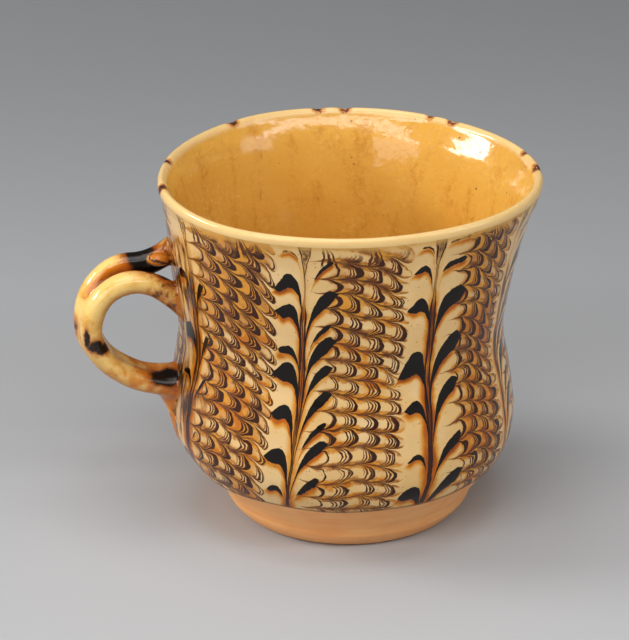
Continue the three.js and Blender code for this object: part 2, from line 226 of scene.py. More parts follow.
class Wiring:
    """The node tree of one material, and the few ways in which its nodes are made."""

    def __init__(self, name: str) -> None:
        """Starts an empty material with its output.

        Args:
            name: the material's name.
        """
        self.material = bpy.data.materials.new(name)
        self.material.use_nodes = True
        self.tree = self.material.node_tree
        self.tree.nodes.clear()
        self.output = self.tree.nodes.new("ShaderNodeOutputMaterial")

    def node(self, kind: str, settings: dict[str, Any], values: Any, output: Any = 0) -> Wire:
        """Adds a node, links the wires among its values and sets the others.

        Args:
            kind: the node's type.
            settings: its properties, set before the sockets are filled.
            values: what goes into its sockets, a list in order, or a dict by name or identifier.
            output: number or identifier of the socket to return.

        Returns:
            The wire of that output.
        """
        node = self.tree.nodes.new(kind)
        for key, value in settings.items():
            setattr(node, key, value)
        pairs = enumerate(values) if isinstance(values, list) else values.items()
        for key, value in pairs:
            socket = self.socket(node.inputs, key)
            if isinstance(value, Wire):
                self.tree.links.new(value.socket, socket)
            else:
                socket.default_value = value
        return Wire(self, self.socket(node.outputs, output))

    @staticmethod
    def socket(sockets: Any, key: Any) -> bpy.types.NodeSocket:
        """A socket by number, or the first enabled one with an identifier or name."""
        named = (s for s in sockets if key in (s.identifier, s.name) and s.enabled)
        return sockets[key] if isinstance(key, int) else next(named)

    def mix(self, first: Any, second: Any, factor: Any) -> Wire:
        """A colour between two, by a factor from 0 to 1."""
        values = {"Factor_Float": factor, "A_Color": first, "B_Color": second}
        return self.node("ShaderNodeMix", {"data_type": "RGBA"}, values, "Result_Color")

    def coats(self, ground: Any, coats: Sequence[tuple[Any, Any]]) -> Any:
        """Colours laid over a ground in order, each with how much of it shows, from 0 to 1."""
        return reduce(lambda under, coat: self.mix(under, *coat), coats, ground)

    def vectors(self, operation: str, *values: Any, output: Any = 0) -> Wire:
        """A Vector Math node on wires or plain triples."""
        return self.node("ShaderNodeVectorMath", {"operation": operation}, list(values), output)

    def scaled(self, vector: Wire, factor: float) -> Wire:
        """A vector times a number."""
        return self.node("ShaderNodeVectorMath", {"operation": "SCALE"}, {0: vector, "Scale": factor})

    def place(self) -> Wire:
        """Object coordinates in millimetres, as a vector."""
        return self.scaled(self.node("ShaderNodeTexCoord", {}, [], "Object"), 1 / MM)

    def axis(self, vector: Wire, name: str) -> Wire:
        """One component, X, Y or Z, of a vector."""
        return self.node("ShaderNodeSeparateXYZ", {}, [vector], name)

    def vector(self, x: Any, y: Any, z: Any = 0.0) -> Wire:
        """A vector from three values."""
        return self.node("ShaderNodeCombineXYZ", {}, [x, y, z])

    def noise(self, where: Wire, size: float, detail: float = 2.0, rough: float = 0.5) -> Wire:
        """Soft noise about 0, nearly all of it between -1 and 1, with lumps of a size in millimetres."""
        values = {"Vector": where, "Scale": 1 / size, "Detail": detail, "Roughness": rough}
        return (self.node("ShaderNodeTexNoise", {"noise_dimensions": "3D"}, values, "Fac") - 0.5) * 2.6

    def cells(self, where: Wire, size: float, feature: str) -> Wire:
        """A Voronoi pattern: distance to the nearest point or edge of cells of a size in millimetres."""
        values = {"Vector": where, "Scale": 1 / size}
        return self.node("ShaderNodeTexVoronoi", {"feature": feature}, values, "Distance")

    def chance(self, x: Any, y: Any) -> Wire:
        """A fixed random number from 0 to 1 for each pair of whole numbers."""
        pair = [self.vector(x, y)]
        return self.node("ShaderNodeTexWhiteNoise", {"noise_dimensions": "2D"}, pair, "Value")

    def attribute(self, name: str) -> Wire:
        """A number that the mesh carries."""
        return self.node("ShaderNodeAttribute", {"attribute_name": name}, [], "Fac")

    def blob(self, where: Wire, centre: Sequence[float], reach: Sequence[float], edge: float) -> Wire:
        """1 inside an ellipsoid and 0 outside it, with an edge as soft as a share of its reach."""
        offset = self.vectors("DIVIDE", self.vectors("SUBTRACT", where, tuple(centre)), tuple(reach))
        return self.vectors("LENGTH", offset, output="Value").step(1 + edge, 1 - edge)

    def profile(
        self,
        x: Wire,
        knots: Sequence[tuple[float, float]],
        across: tuple[float, float],
        tall: tuple[float, float],
    ) -> Wire:
        """A function of straight stretches between knots.

        Args:
            x: where it is read.
            knots: its corners, in order.
            across: lowest and highest x.
            tall: lowest and highest value.

        Returns:
            Its value, level beyond the outermost knots.
        """
        wide, high = across[1] - across[0], tall[1] - tall[0]
        wire = self.node("ShaderNodeFloatCurve", {}, {"Value": (x - across[0]) / wide})
        mapping = wire.socket.node.mapping
        curve = mapping.curves[0]
        ends = [(0.0, (knots[0][1] - tall[0]) / high), (1.0, (knots[-1][1] - tall[0]) / high)]
        curve.points[0].location, curve.points[1].location = ends
        for at, value in knots[1:]:
            curve.points.new((at - across[0]) / wide, (value - tall[0]) / high)
        for point in curve.points:
            point.handle_type = "VECTOR"
        mapping.update()
        return wire * high + tall[0]

    def bump(self, height: Wire, depth: float) -> Wire:
        """A normal tilted by a height map, whose 1 stands for a depth in millimetres."""
        return self.node("ShaderNodeBump", {}, {"Height": height, "Strength": 1.0, "Distance": depth * MM})

    def finish(self, **sockets: Any) -> bpy.types.Material:
        """Ends the material in one Principled shader.

        Args:
            sockets: what goes into its sockets, named with _ for a space.

        Returns:
            The material.
        """
        values = {name.replace("_", " "): value for name, value in sockets.items()}
        surface = self.node("ShaderNodeBsdfPrincipled", {}, values, "BSDF")
        self.tree.links.new(surface.socket, self.output.inputs["Surface"])
        return self.material


# The finishes


class Slot(Enum):
    """The record's material slots."""

    BARE_CLAY = "bare_clay"
    FEATHERED_SLIP = "feathered_slip"
    HONEY_GLAZE = "honey_glaze"
    HANDLE_GLAZE = "handle_glaze"


CREAM = tint(224, 181, 114)
PALE_CREAM = tint(236, 202, 148)
HONEY = tint(216, 148, 50)
ORANGE = tint(182, 92, 12)
STAIN = tint(138, 66, 14)
BROWN = tint(56, 24, 6)
UMBER = tint(98, 48, 15)
BLACK = tint(14, 7, 3)


@dataclass(frozen=True)
class BareClay:
    """Bare fired earthenware with turning lines and small pits."""

    ring_height: float = 0.55  # mm from one turning line to the next
    grain: float = 0.5  # mm across a pit
    depth: float = 0.035  # mm of relief

    def material(self) -> bpy.types.Material:
        """The clay: pinkish orange, streaked along the turning, a little darker in its pits.

        Returns:
            The material.
        """
        w = Wiring("bare_clay")
        here = w.place()
        height = w.axis(here, "Z")
        streak = w.noise(w.vectors("MULTIPLY", here, (0.12, 0.12, 1.6)), 2.2, 3.0)
        patch = w.noise(here, 9.0)
        scuff = (w.noise(here, 2.4, 4.0, 0.7) + height.step(12.0, 15.5) * 0.35).step(0.55, 0.95)
        speck = w.noise(here, self.grain).step(0.62, 0.95)
        rings = (height * (2 * math.pi / self.ring_height) + streak * 2.2).cosine()
        colour = w.coats(tint(242, 158, 86), [
            (tint(252, 194, 126), (streak * 0.35 + patch * 0.3 + 0.5).step(0.0, 1.0)),
            (tint(224, 136, 68), (patch * 0.6 + 0.25).step(0.2, 1.0) * 0.7),
            (tint(236, 196, 152), scuff * 0.45),
            (tint(152, 88, 52), speck * 0.5),
        ])
        normal = w.bump(rings * 0.15 + streak * 0.4 - speck * 0.8, self.depth)
        rough = 0.5 + streak * 0.08 + speck * 0.2
        return w.finish(Base_Color=colour, Roughness=rough, Normal=normal)


@dataclass(frozen=True)
class Bands:
    """The black bands that a spine stroke turned into leaf blades: height and half thickness, in mm."""

    right: tuple[tuple[float, float], ...]
    left: tuple[tuple[float, float], ...]


FULL_SPINE = Bands(
    right=((10.2, 1.6), (20.4, 1.5), (34.9, 2.1), (46.8, 2.8), (60.5, 2.4), (70.2, 0.8), (77.2, 0.35)),
    left=((6.5, 2.0), (17.2, 0.8), (30.5, 1.7), (42.7, 3.3), (59.2, 2.1), (69.9, 1.0), (76.6, 0.3)),
)
BUSY_SPINE = Bands(
    right=(
        (14.8, 0.8), (23.8, 1.9), (29.2, 1.0), (36.7, 1.8), (44.3, 1.8), (51.8, 2.5), (56.9, 0.9),
        (65.4, 2.4), (75.6, 0.7),
    ),
    left=(
        (8.7, 0.7), (18.0, 2.4), (30.0, 1.9), (40.9, 2.8), (47.5, 1.3), (59.0, 2.0), (67.6, 2.0),
        (76.8, 0.3),
    ),
)


@dataclass(frozen=True)
class CombedPlace:
    """A place on the slip as its nearest spine sees it, and the noise that makes drawn lines waver."""

    w: Wiring
    here: Wire  # in space
    across: Wire  # mm from the spine, positive to the right
    up: Wire  # mm up the outside
    cell: Wire  # number of the spine
    wander: Wire  # coarse noise
    quiver: Wire  # middle noise
    frizz: Wire  # fine noise


@dataclass(frozen=True)
class FeatheredSlip:
    """Cream and black-brown slip, combed in rows and drawn down at each spine, under clear gloss glaze.

    The pattern is found by undoing the potter's strokes: each point looks back to where its slip lay
    before the spine was drawn down and before the rows were dragged to the left.
    """

    spines: int = 8
    spacing: float = 35.0  # mm round the belly from one spine to the next
    rise: float = 80.0  # mm up the outside
    row: float = 4.8  # height of a combed row
    leaf_right: tuple[float, float, float] = (12.6, 9.2, 6.4)  # right of a full, a busy and the first spine
    leaf_left: float = 7.6
    lone: float = 3.0  # number of the spine that has no leaves on its left
    lone_shift: float = 4.6  # how much further the rows run towards that spine
    group: float = 5.65  # from one bold arch to the next along a row
    line: float = 0.88  # from one fine line to the next
    nose: float = 0.44  # where in a row its arcs reach furthest to the right
    stroke: float = 15.0  # how far a spine's stroke drew the slip down beside its stem
    bleed: float = 1.1  # how far above a blade its orange begins
    lines_end: tuple[float, float] = (77.0, 73.2)  # heights between which the combed lines die away
    depth: float = 0.06  # mm of relief
    refraction: float = 1.36
    # Where the comb was lifted off: mm along the gap between two spines, sway, and the gap that has none.
    lifts: tuple[tuple[float, float, float], ...] = ((5.6, 0.6, 2.0), (18.6, 3.0, 9.0))

    def material(self) -> bpy.types.Material:
        """The whole slip finish.

        Returns:
            The material.
        """
        w = Wiring("feathered_slip")
        here = w.place()
        uv = w.node("ShaderNodeUVMap", {"uv_map": "comb"}, [])
        turn = w.axis(uv, "X") * self.spines - 0.5
        up = w.axis(uv, "Y") * self.rise
        wander, quiver, frizz = w.noise(here, 9.0), w.noise(here, 2.6), w.noise(here, 0.9)
        nearest = (turn + 0.5).floor()
        across = (turn - nearest) * self.spacing + wander * 0.25 + quiver * 0.12
        at = CombedPlace(w, here, across, up, self.wrapped(nearest), wander, quiver, frizz)
        return self.dressed(at, self.blades(at), self.rows(at), self.spine(at))

    def wrapped(self, cell: Wire) -> Wire:
        """The same number, counted round the pot from 0."""
        return ((cell / self.spines).fraction() * self.spines + 0.5).floor()

    @staticmethod
    def odd(cell: Wire) -> Wire:
        """1 for the busy spines, which are every second one, and 0 for the full ones."""
        return (cell * 0.5).fraction() > 0.25

    @staticmethod
    def same(cell: Wire, number: float) -> Wire:
        """1 at the spine or gap with a number, and 0 at the others."""
        return 1 - (abs(cell - number) > 0.5)

    def leaf_end(self, cell: Wire) -> Wire:
        """How far the leaves right of a spine reach: least beside the handle, where the first spine is."""
        full, busy, first = self.leaf_right
        return self.odd(cell) * (busy - full) + (abs(cell) > 0.5) * (full - first) + first

    def left_start(self, gap: Wire) -> Wire:
        """Where rows end and the next spine's left leaves begin: later before the spine without any."""
        return self.spacing - self.leaf_left + self.same(gap, self.lone - 1.0) * self.lone_shift

    def inside(self, w: Wiring, source: Wire, bands: Sequence[tuple[float, float]]) -> Wire:
        """How deep a height lies inside the nearest of several bands: half - |height - middle|.

        Args:
            w: the wiring.
            source: the height, in mm.
            bands: middle and half thickness of each, from the lowest.

        Returns:
            The depth in mm, below 0 outside.
        """
        knots = [(-5.0, -6.0)]
        beyond = (bands[-1][0] + 12, 0.0)
        for (middle, half), (after, next_half) in zip(bands, (*bands[1:], beyond)):
            between = (middle + half + after - next_half) / 2
            knots += [(middle, half), (between, half - (between - middle))]
        return w.profile(source, knots, (-5.0, 95.0), (-8.0, 4.0))

    def blades(self, at: CombedPlace) -> tuple[Wire, Wire, Wire]:
        """The black leaf blades on both sides of a spine, and the orange that bled out under each.

        Undoing the stroke lifts a point by an amount that dies away with its distance from the spine. At
        the height where it came from, the slip lay in level bands, and those are the blades.

        Args:
            at: the place.

        Returns:
            The blade mask, the wide glow and the narrow glow.
        """
        w, up, cell, wander, quiver = at.w, at.up, at.cell, at.wander, at.quiver
        right, away, odd = at.across > 0.0, abs(at.across), self.odd(cell)
        low = (up.step(76.0, 42.0) * 12.5 + 2.0) * (1 - odd) + odd * 14.0
        leaf_end = self.leaf_end(cell)
        beyond = (away - 8.5).most(0.0)
        outer = (away - 3.6).most(0.0)
        pull_right = away.fade(0.62) * self.stroke + away.fade(3.9) * low - beyond * beyond * 0.03
        pull_left = away.fade(1.0) * self.stroke + outer * (0.42 + wander * 0.7)
        shift = (w.chance(cell, 3.0) - 0.5) * (abs(cell - 1.5) > 0.6) * 9.0
        base = up + shift + wander * 0.5 + quiver * 0.22
        ragged = away + quiver * 0.5
        reach_right = ragged.step(0.6, 4.0) * 1.15 - 1.15 - (ragged - leaf_end).step(-3.0, 0.3) * 2.4
        reach_left = ragged.step(0.4, 2.0) * 0.9 - (away + quiver * 0.6).step(4.8, 9.8) * 3.4 - 0.9
        slimmer = self.same(cell, 0.0) * 0.9
        leafless = self.same(cell, self.lone) * 3.0

        def depth_at(lift: float) -> Wire:
            """How deep inside a band a point lies that is lifted, on its own side of the spine.

            Args:
                lift: mm.

            Returns:
                The depth in mm.
            """
            depths = []
            for pull, reach, full, busy in (
                (pull_right, reach_right, FULL_SPINE.right, BUSY_SPINE.right),
                (pull_left, reach_left, FULL_SPINE.left, BUSY_SPINE.left),
            ):
                source = base + pull + lift
                first, second = self.inside(w, source, full), self.inside(w, source, busy)
                depths.append(first + (second - first) * odd + reach - slimmer)
            left_depth = depths[1] - leafless
            return left_depth + (depths[0] - left_depth) * right

        depth, above = depth_at(0.0) + at.frizz * 0.2, depth_at(self.bleed)
        leaf = (leaf_end - away).step(-0.4, 0.3)
        blade = depth.step(-0.07, 0.09) * leaf
        patchy = (wander * 0.7 + 0.75).least(1.0).most(0.25)
        glow = (above + quiver * 0.4).step(-1.7, 0.5) * leaf * patchy
        core = (above + quiver * 0.3).step(-0.8, 0.9) * leaf * patchy
        return blade, glow, core

    def rows(self, at: CombedPlace) -> tuple[Wire, Wire, Wire, Wire]:
        """The combed rows of fine and bold lines between the spines.

        Undoing a stroke moves a point to the right, most at a row's edge, so that a straight line becomes
        an arch with a long cusp to the left on each edge between two rows.

        Args:
            at: the place.

        Returns:
            The masks of the fine lines, the bold lines, the brown stain and the amber pools.
        """
        w, up, wander, quiver, frizz = at.w, at.up, at.wander, at.quiver, at.frizz
        left = 1 - (at.across > 0.0)
        along = at.across + left * self.spacing
        gap = self.wrapped(at.cell - left)
        begin = self.leaf_end(gap)
        beyond = (along - begin).most(0.0)
        fall = beyond * (up.step(18.0, 50.0) * 0.3 + 0.06) + beyond.fade(4.0) * 1.2
        to_leaves = (self.spacing - self.leaf_left - along).most(0.0)
        droop = to_leaves.fade(8.0) * (5.2 - self.odd(gap) * 3.8)
        level = (up + fall + droop + wander * 1.5 + quiver * 0.35) / self.row + gap * 0.37
        number, high = level.floor(), level.fraction()
        edge = 0.5 - abs(high - 0.5)
        upper = high > self.nose
        luck = w.chance(number, gap)
        bend = ((high - self.nose) / (1 - self.nose)).most((self.nose - high) / self.nose)
        arch = 1 - (1.03 - bend * bend).root()
        drag = arch * (2.4 + upper * 0.7 + luck * 1.3) + edge.fade(0.06) * (1.0 + upper * 1.5 + luck)
        place = along - begin + drag + wander * 0.5 + quiver * 0.3
        count = place / self.group + (luck - 0.5) * 0.34 + wander * 0.06
        group = (count + 0.5).fraction() - 0.5
        chance = w.chance((count + 0.5).floor(), number + gap * 31.0)
        fine = (place * (2 * math.pi / self.line) + chance * 6.0 + quiver * 1.6).cosine()
        heavy = w.noise(at.here, 13.0) + self.laden(gap, up)
        width = 0.02 - heavy * 0.6 + frizz * 0.4 - (1 - high) * 0.3
        spread = 0.4 + chance * 0.22 + heavy * 0.2
        fine = (fine - width).step(-0.16, 0.2)
        thin = fine * (group + spread).step(-0.02, 0.03) * group.step(-0.03, -0.07)
        bold_half = 0.04 + chance * 0.07 + heavy * 0.08 + frizz * 0.025
        bold = (bold_half - abs(group)).step(-0.014, 0.014)
        stop = (self.left_start(gap) + 0.9 - place - begin).step(-0.1, 0.4)
        combed = place.step(-0.9, -0.5) * stop
        top = (up + quiver * 1.5 + wander * 3.5).step(*self.lines_end)
        border = edge * self.row
        rim = border.step(0.42, 0.08) * (0.65 + quiver * 0.5) * place.step(-3.5, 0.0) * stop
        thin = (thin * combed).most(rim) * top
        bold = bold * combed * top
        smear = (border + frizz * 0.5).step(1.9, 0.3) * (0.9 + quiver * 0.6) + heavy * 0.55
        between = place.step(-3.5, 0.5) * stop
        stain = smear.least(1.0).most(0.0) * between
        pool = w.noise(at.here, 6.5) + quiver * 0.2 + stain * 0.55 + heavy * 0.2
        warm = pool.step(0.14, 0.8) * between * (1 - up.step(45.0, 68.0) * 0.4)
        return thin.most(self.tongues(at, along, gap)), bold, stain, warm

    def tongues(self, at: CombedPlace, along: Wire, gap: Wire) -> Wire:
        """Bundles of nested lines that taper up to the lip, where the comb was lifted off.

        Args:
            at: the place.
            along: mm from the spine on the left.
            gap: number of that spine.

        Returns:
            The lines' mask.
        """
        up, quiver, bundles = at.up, at.quiver, []
        for middle, sway, shy in self.lifts:
            drift = (at.w.chance(gap, 7.0 + middle) - 0.5) * sway
            off = abs(along - middle - drift + (up - 76.0) * 0.22 + quiver * 0.35)
            share = off / ((79.6 - up).most(0.0) * 0.3 + 0.4) + at.frizz * 0.08
            nested = (share * (2 * math.pi * 1.6) - 1.0).cosine().step(-0.05, 0.3)
            bundles.append(nested * share.step(1.06, 0.98) * (abs(gap - shy) > 0.5))
        return reduce(Wire.most, bundles) * (up + quiver * 1.2).step(71.0, 73.0)

    @staticmethod
    def laden(gap: Wire, up: Wire) -> Wire:
        """How much more dark slip the combing carries: most right of the full spines and near the lip."""
        return (gap * 0.5).fraction().step(0.3, 0.2) * 0.5 + up.step(34.0, 58.0) * 0.2 - 0.08

    def spine(self, at: CombedPlace) -> tuple[Wire, Wire]:
        """The two dark stems that each spine stroke leaves, and the amber beside them.

        Args:
            at: the place.

        Returns:
            The masks of the stems and of the amber.
        """
        up, odd, quiver, frizz = at.up, self.odd(at.cell), at.quiver, at.frizz
        long_noise = at.w.noise(at.w.vectors("MULTIPLY", at.here, (0.3, 0.3, 1.0)), 9.0, 1.0)
        bare = up.step(56.0, 64.0)
        away = abs(at.across + frizz * 0.06 + quiver * 0.08)
        joined = up.step(34.0, 16.0) * 0.4
        half = 0.38 + long_noise * 0.24 - bare * 0.26 - odd * 0.12
        part = 0.74 - joined - bare * 0.5 - odd * 0.14 + (up - 69.5).most(0.0) * 0.15
        pair = (half + (up - 71.0).most(0.0) * 0.03 - abs(away - part)).step(-0.1, 0.12)
        hair = (0.12 - away).step(-0.08, 0.06) * (1 - bare * 0.5)
        tuft = ((up - 70.0) * 0.15 - away).step(-0.1, 0.2) * (frizz * 0.6 + 0.5).step(0.0, 0.7)
        line = pair.most(hair * 0.8).most(tuft * up.step(70.0, 73.5) * 0.85)
        warm = (0.72 + long_noise * 0.6).least(1.0).most(0.15) * (1 - bare * 0.75)
        amber = (away + quiver * 0.6 - up.step(58.0, 30.0) * 0.7 + odd * 0.8).step(3.0, 0.2) * warm
        return line, amber

    def dressed(
        self, at: CombedPlace, leaves: Sequence[Wire], combing: Sequence[Wire], stems: Sequence[Wire]
    ) -> bpy.types.Material:
        """Lays the slips and stains over each other and glazes them.

        Args:
            at: the place.
            leaves: the masks from blades.
            combing: the masks from rows.
            stems: the masks from spine.

        Returns:
            The material.
        """
        w, here, up = at.w, at.here, at.up
        blade, glow, core = leaves
        lines, bold, stain, warm = combing
        stem, amber = stems
        patch, dust = w.noise(here, 11.0, 3.0), w.noise(here, 0.5)
        streak = w.noise(w.vectors("MULTIPLY", here, (1.0, 1.0, 0.16)), 1.7, 3.0)
        beside = w.axis(here, "X").step(-37.5, -43.0) * up.step(4.0, 16.0) * up.step(76.0, 66.0)
        wash = beside * (0.55 + patch * 0.4 + streak * 0.5)
        soaked = (glow * 0.5 + core * 0.42).most(amber).most(warm * 0.58)
        over = (up - 75.6 + streak * 0.9 + patch * 0.5).step(0.0, 2.2)
        colour = w.coats(CREAM, [
            (PALE_CREAM, (patch * 0.5 + 0.4).step(0.0, 1.0)),
            (tint(146, 92, 40), dust.step(0.3, 0.9) * 0.5),
            (tint(196, 134, 66), stain.step(0.02, 0.45)),  # smears along the rows' edges
            (tint(120, 68, 26), stain.step(0.35, 0.85) * 0.95),
            (HONEY, soaked.step(0.0, 0.4)),  # where oxide bled into the cream
            (ORANGE, soaked.step(0.3, 0.72)),
            (tint(112, 52, 10), soaked.step(0.66, 1.0) * 0.8),
            (STAIN, w.cells(here, 1.9, "F1").step(0.13, 0.08) * 0.6),
            (tint(182, 112, 36), wash.step(0.2, 0.75) * 0.75),  # runs behind the handle
            (tint(58, 28, 11), wash.step(0.5, 0.84) * 0.95),
            (w.mix(UMBER, BROWN, (patch + 0.25).step(0.0, 0.8)), lines),
            (BROWN, stem.most(bold)),
            (BLACK, blade),
            (tint(214, 164, 84), over * 0.75),  # honey glaze from over the lip
            (tint(120, 78, 38), up.step(1.1, 0.2) * 0.8),  # the coat's lower edge
        ])
        relief = (blade.most(bold) * 0.5).most(lines * 0.35) + w.noise(here, 3.5) * 0.35 + dust * 0.05
        rough = 0.13 + dust.step(0.4, 1.0) * 0.1
        normal = w.bump(relief, self.depth)
        return w.finish(Base_Color=colour, Roughness=rough, Normal=normal, IOR=self.refraction)


@dataclass(frozen=True)
class HoneyGlaze:
    """The honey-coloured gloss glaze of the lining: deeper down the hollow, crazed, specked and pitted."""

    pit_spacing: float = 6.0  # mm
    craze_spacing: float = 2.1  # mm
    depth: float = 0.07  # mm of relief
    refraction: float = 1.45

    def material(self) -> bpy.types.Material:
        """The glaze, which is cream and thin over the lip, with brown where the lip is chipped.

        Returns:
            The material.
        """
        w = Wiring("honey_glaze")
        here = w.place()
        chip, lip = w.attribute("chip"), w.attribute("lip")
        cloud = w.noise(here, 16.0, 3.0)
        run = w.noise(w.vectors("MULTIPLY", here, (1.0, 1.0, 0.3)), 5.0, 3.0)
        fleck = w.noise(here, 1.5, 3.0, 0.65)
        speck = w.noise(here, 0.9).step(0.5, 0.95)
        dot = w.cells(here, self.pit_spacing, "F1").step(0.07, 0.045)
        craze = w.cells(here, self.craze_spacing, "DISTANCE_TO_EDGE").step(0.02, 0.006)
        ragged = chip + w.noise(here, 1.0, 3.0, 0.7) * 0.75
        broken = ragged.step(0.5, 0.7)
        colour = w.coats(tint(192, 118, 24), [
            (tint(220, 164, 70), (w.axis(here, "Z") + cloud * 18.0).step(8.0, 88.0)),
            (tint(182, 112, 28), (run * 0.6 + fleck * 0.35 + 0.1).step(0.1, 0.8) * 0.7),
            (tint(232, 188, 104), (fleck * -0.7 + cloud * 0.4).step(0.12, 0.6) * 0.6),
            (tint(132, 72, 18), speck * 0.8),
            (tint(146, 88, 26), craze * (0.22 + run * 0.4)),
            (tint(92, 50, 16), dot * 0.7),
            (tint(236, 202, 140), (lip + cloud * 0.2 + fleck * 0.2).step(0.35, 0.95) * 0.8),
            (tint(190, 112, 32), (chip * 1.8 + fleck * 0.5).step(0.15, 0.8) * 0.75),
            (tint(122, 62, 22), ragged.step(0.5, 0.64)),
            (tint(42, 24, 14), ragged.step(0.84, 0.98)),
        ])
        relief = w.noise(here, 2.6) * 0.5 + cloud * 0.8 - dot * 0.8 - craze * 0.1 - broken * 1.5
        rough = 0.1 + broken * 0.4 + craze * 0.1
        normal = w.bump(relief, self.depth)
        return w.finish(Base_Color=colour, Roughness=rough, Normal=normal, IOR=self.refraction)


@dataclass(frozen=True)
class HandleGlaze:
    """Cream slip under amber glaze that pools orange and black where rolls and wall meet."""

    # Middle and half sizes of each dark pool, in mm
    pools: tuple[tuple[tuple[float, float, float], tuple[float, float, float]], ...] = (
        ((-54.2, 3.0, 73.2), (3.9, 5.2, 3.0)),
        ((-52.6, 0.6, 70.9), (4.4, 3.4, 2.5)),
        ((-49.6, -1.6, 68.6), (2.6, 2.6, 1.8)),
        ((-67.7, -5.0, 52.5), (1.9, 2.4, 1.7)),
        ((-66.1, -4.6, 51.0), (2.0, 2.5, 1.3)),
        ((-69.9, -6.4, 54.4), (0.7, 1.6, 2.6)),
        ((-74.3, 1.6, 54.6), (2.2, 3.0, 3.2)),
        ((-48.8, -4.6, 42.2), (3.2, 3.4, 2.9)),
        ((-50.2, -4.9, 42.8), (3.2, 3.4, 3.1)),
        ((-46.4, -0.6, 39.0), (3.0, 5.0, 2.4)),
    )
    curl: tuple[float, float, float] = (-50.1, -0.8, 73.2)
    curl_halves: tuple[float, float, float] = (3.3, 3.2, 2.4)
    pool: tuple[float, float] = (1.0, 0.14)  # its size, as a factor, and how soft its edge is
    halo: tuple[float, float] = (1.5, 0.45)  # the same for the orange round it
    ragged: float = 0.95  # mm by which the pools' edges wander
    depth: float = 0.1  # mm of relief
    refraction: float = 1.45

    def material(self) -> bpy.types.Material:
        """The handle's glaze: honey over cream, amber in the hollows, with brown-black pools.

        Returns:
            The material.
        """
        w = Wiring("handle_glaze")
        here = w.place()
        groove, joint, run = w.attribute("groove"), w.attribute("joint"), w.attribute("share")
        cloud, drift = w.noise(here, 7.0, 3.0), w.noise(here, 3.2)
        grain = w.noise(here, 1.3, 3.0, 0.6)
        drip = w.noise(w.vectors("MULTIPLY", here, (1.0, 1.6, 0.25)), 1.6)
        facing_for_painted_shade = w.axis(w.node("ShaderNodeNewGeometry", {}, [], "Normal"), "Z")
        wet = groove * (run.step(0.54, 0.72) + 0.12) + cloud * 0.25 + drift * 0.15
        low = run.step(0.48, 0.2) * (0.5 + cloud * 0.6 + drift * 0.6)
        root = run.step(0.7, 0.84) * (0.7 + drift * 0.8)
        wobble = w.vector(w.noise(here, 1.9, 4.0, 0.7), grain, drift)
        bent = w.vectors("ADD", here, w.scaled(wobble, self.ragged))
        dark, halo = self.pooled(w, bent, *self.pool), self.pooled(w, bent, *self.halo)
        curl = w.blob(here, self.curl, self.curl_halves, 0.12)
        off = w.vectors("SUBTRACT", here, self.curl)
        swirl = (w.axis(off, "Z") * 2.3 + w.axis(off, "X") * 0.9 + drift * 1.6 + grain * 0.5).cosine()
        speck = w.noise(here, 0.8).step(0.42, 0.8)
        colour = w.coats(tint(240, 200, 118), [
            (tint(218, 154, 52), (cloud * 0.8 + drift * 0.4 + 0.2).step(0.1, 0.8) * 0.85),
            (tint(150, 84, 22), (cloud * 0.6 + grain * 0.5 + drift * 0.5).step(0.35, 0.85) * 0.6),
            (tint(238, 204, 140), (cloud * -0.8 + grain * 0.3).step(0.12, 0.7) * 0.7),
            # painted shade: faces that point downwards are darkened
            (tint(176, 98, 26), facing_for_painted_shade.step(0.1, -0.9) * 0.75),  # undersides
            (tint(202, 116, 18), wet.step(0.12, 0.6)),  # amber in the groove
            (tint(112, 54, 12), wet.step(0.6, 1.1) * 0.9),
            (tint(168, 90, 18), (joint + cloud * 0.35 + grain * 0.1).step(0.25, 0.75) * 0.8),
            (tint(58, 28, 12), (joint * 0.8 + drip * 0.55).step(0.55, 0.85) * 0.85),  # drips at the wall
            (tint(202, 114, 24), low.step(0.05, 0.75) * 0.85),  # the lower run
            (tint(176, 98, 24), (root + grain * 0.2).step(0.2, 0.7) * 0.8),
            (tint(86, 42, 15), (root * 0.75 + drip * 0.7).step(0.5, 0.85) * 0.85),  # drips at the roots
            (tint(176, 84, 10), halo * 0.9),  # orange round the dark pools
            (tint(70, 32, 12), halo.step(0.6, 1.0) * 0.6),
            (w.mix(BLACK, tint(92, 42, 18), (grain + drift).step(0.25, 1.0) * 0.7), dark),
            (w.mix(tint(224, 158, 66), tint(196, 104, 20), cloud.step(-0.3, 0.5)), curl * 0.9),
            (tint(64, 30, 12), curl * swirl.step(0.35, 0.85) * 0.9),  # dark lines in the curl
            (tint(104, 52, 16), speck * 0.75),
        ])
        normal = w.bump(cloud * 0.6 + grain * 0.16 + drift * 0.3, self.depth)
        rough = 0.12 + speck * 0.1 + dark * 0.16
        return w.finish(Base_Color=colour, Roughness=rough, Normal=normal, IOR=self.refraction)

    def pooled(self, w: Wiring, where: Wire, swell: float, edge: float) -> Wire:
        """1 inside the dark pools, swollen by a factor, with soft edges."""
        blobs = (w.blob(where, centre, [r * swell for r in reach], edge) for centre, reach in self.pools)
        return reduce(Wire.most, blobs)


# The pot


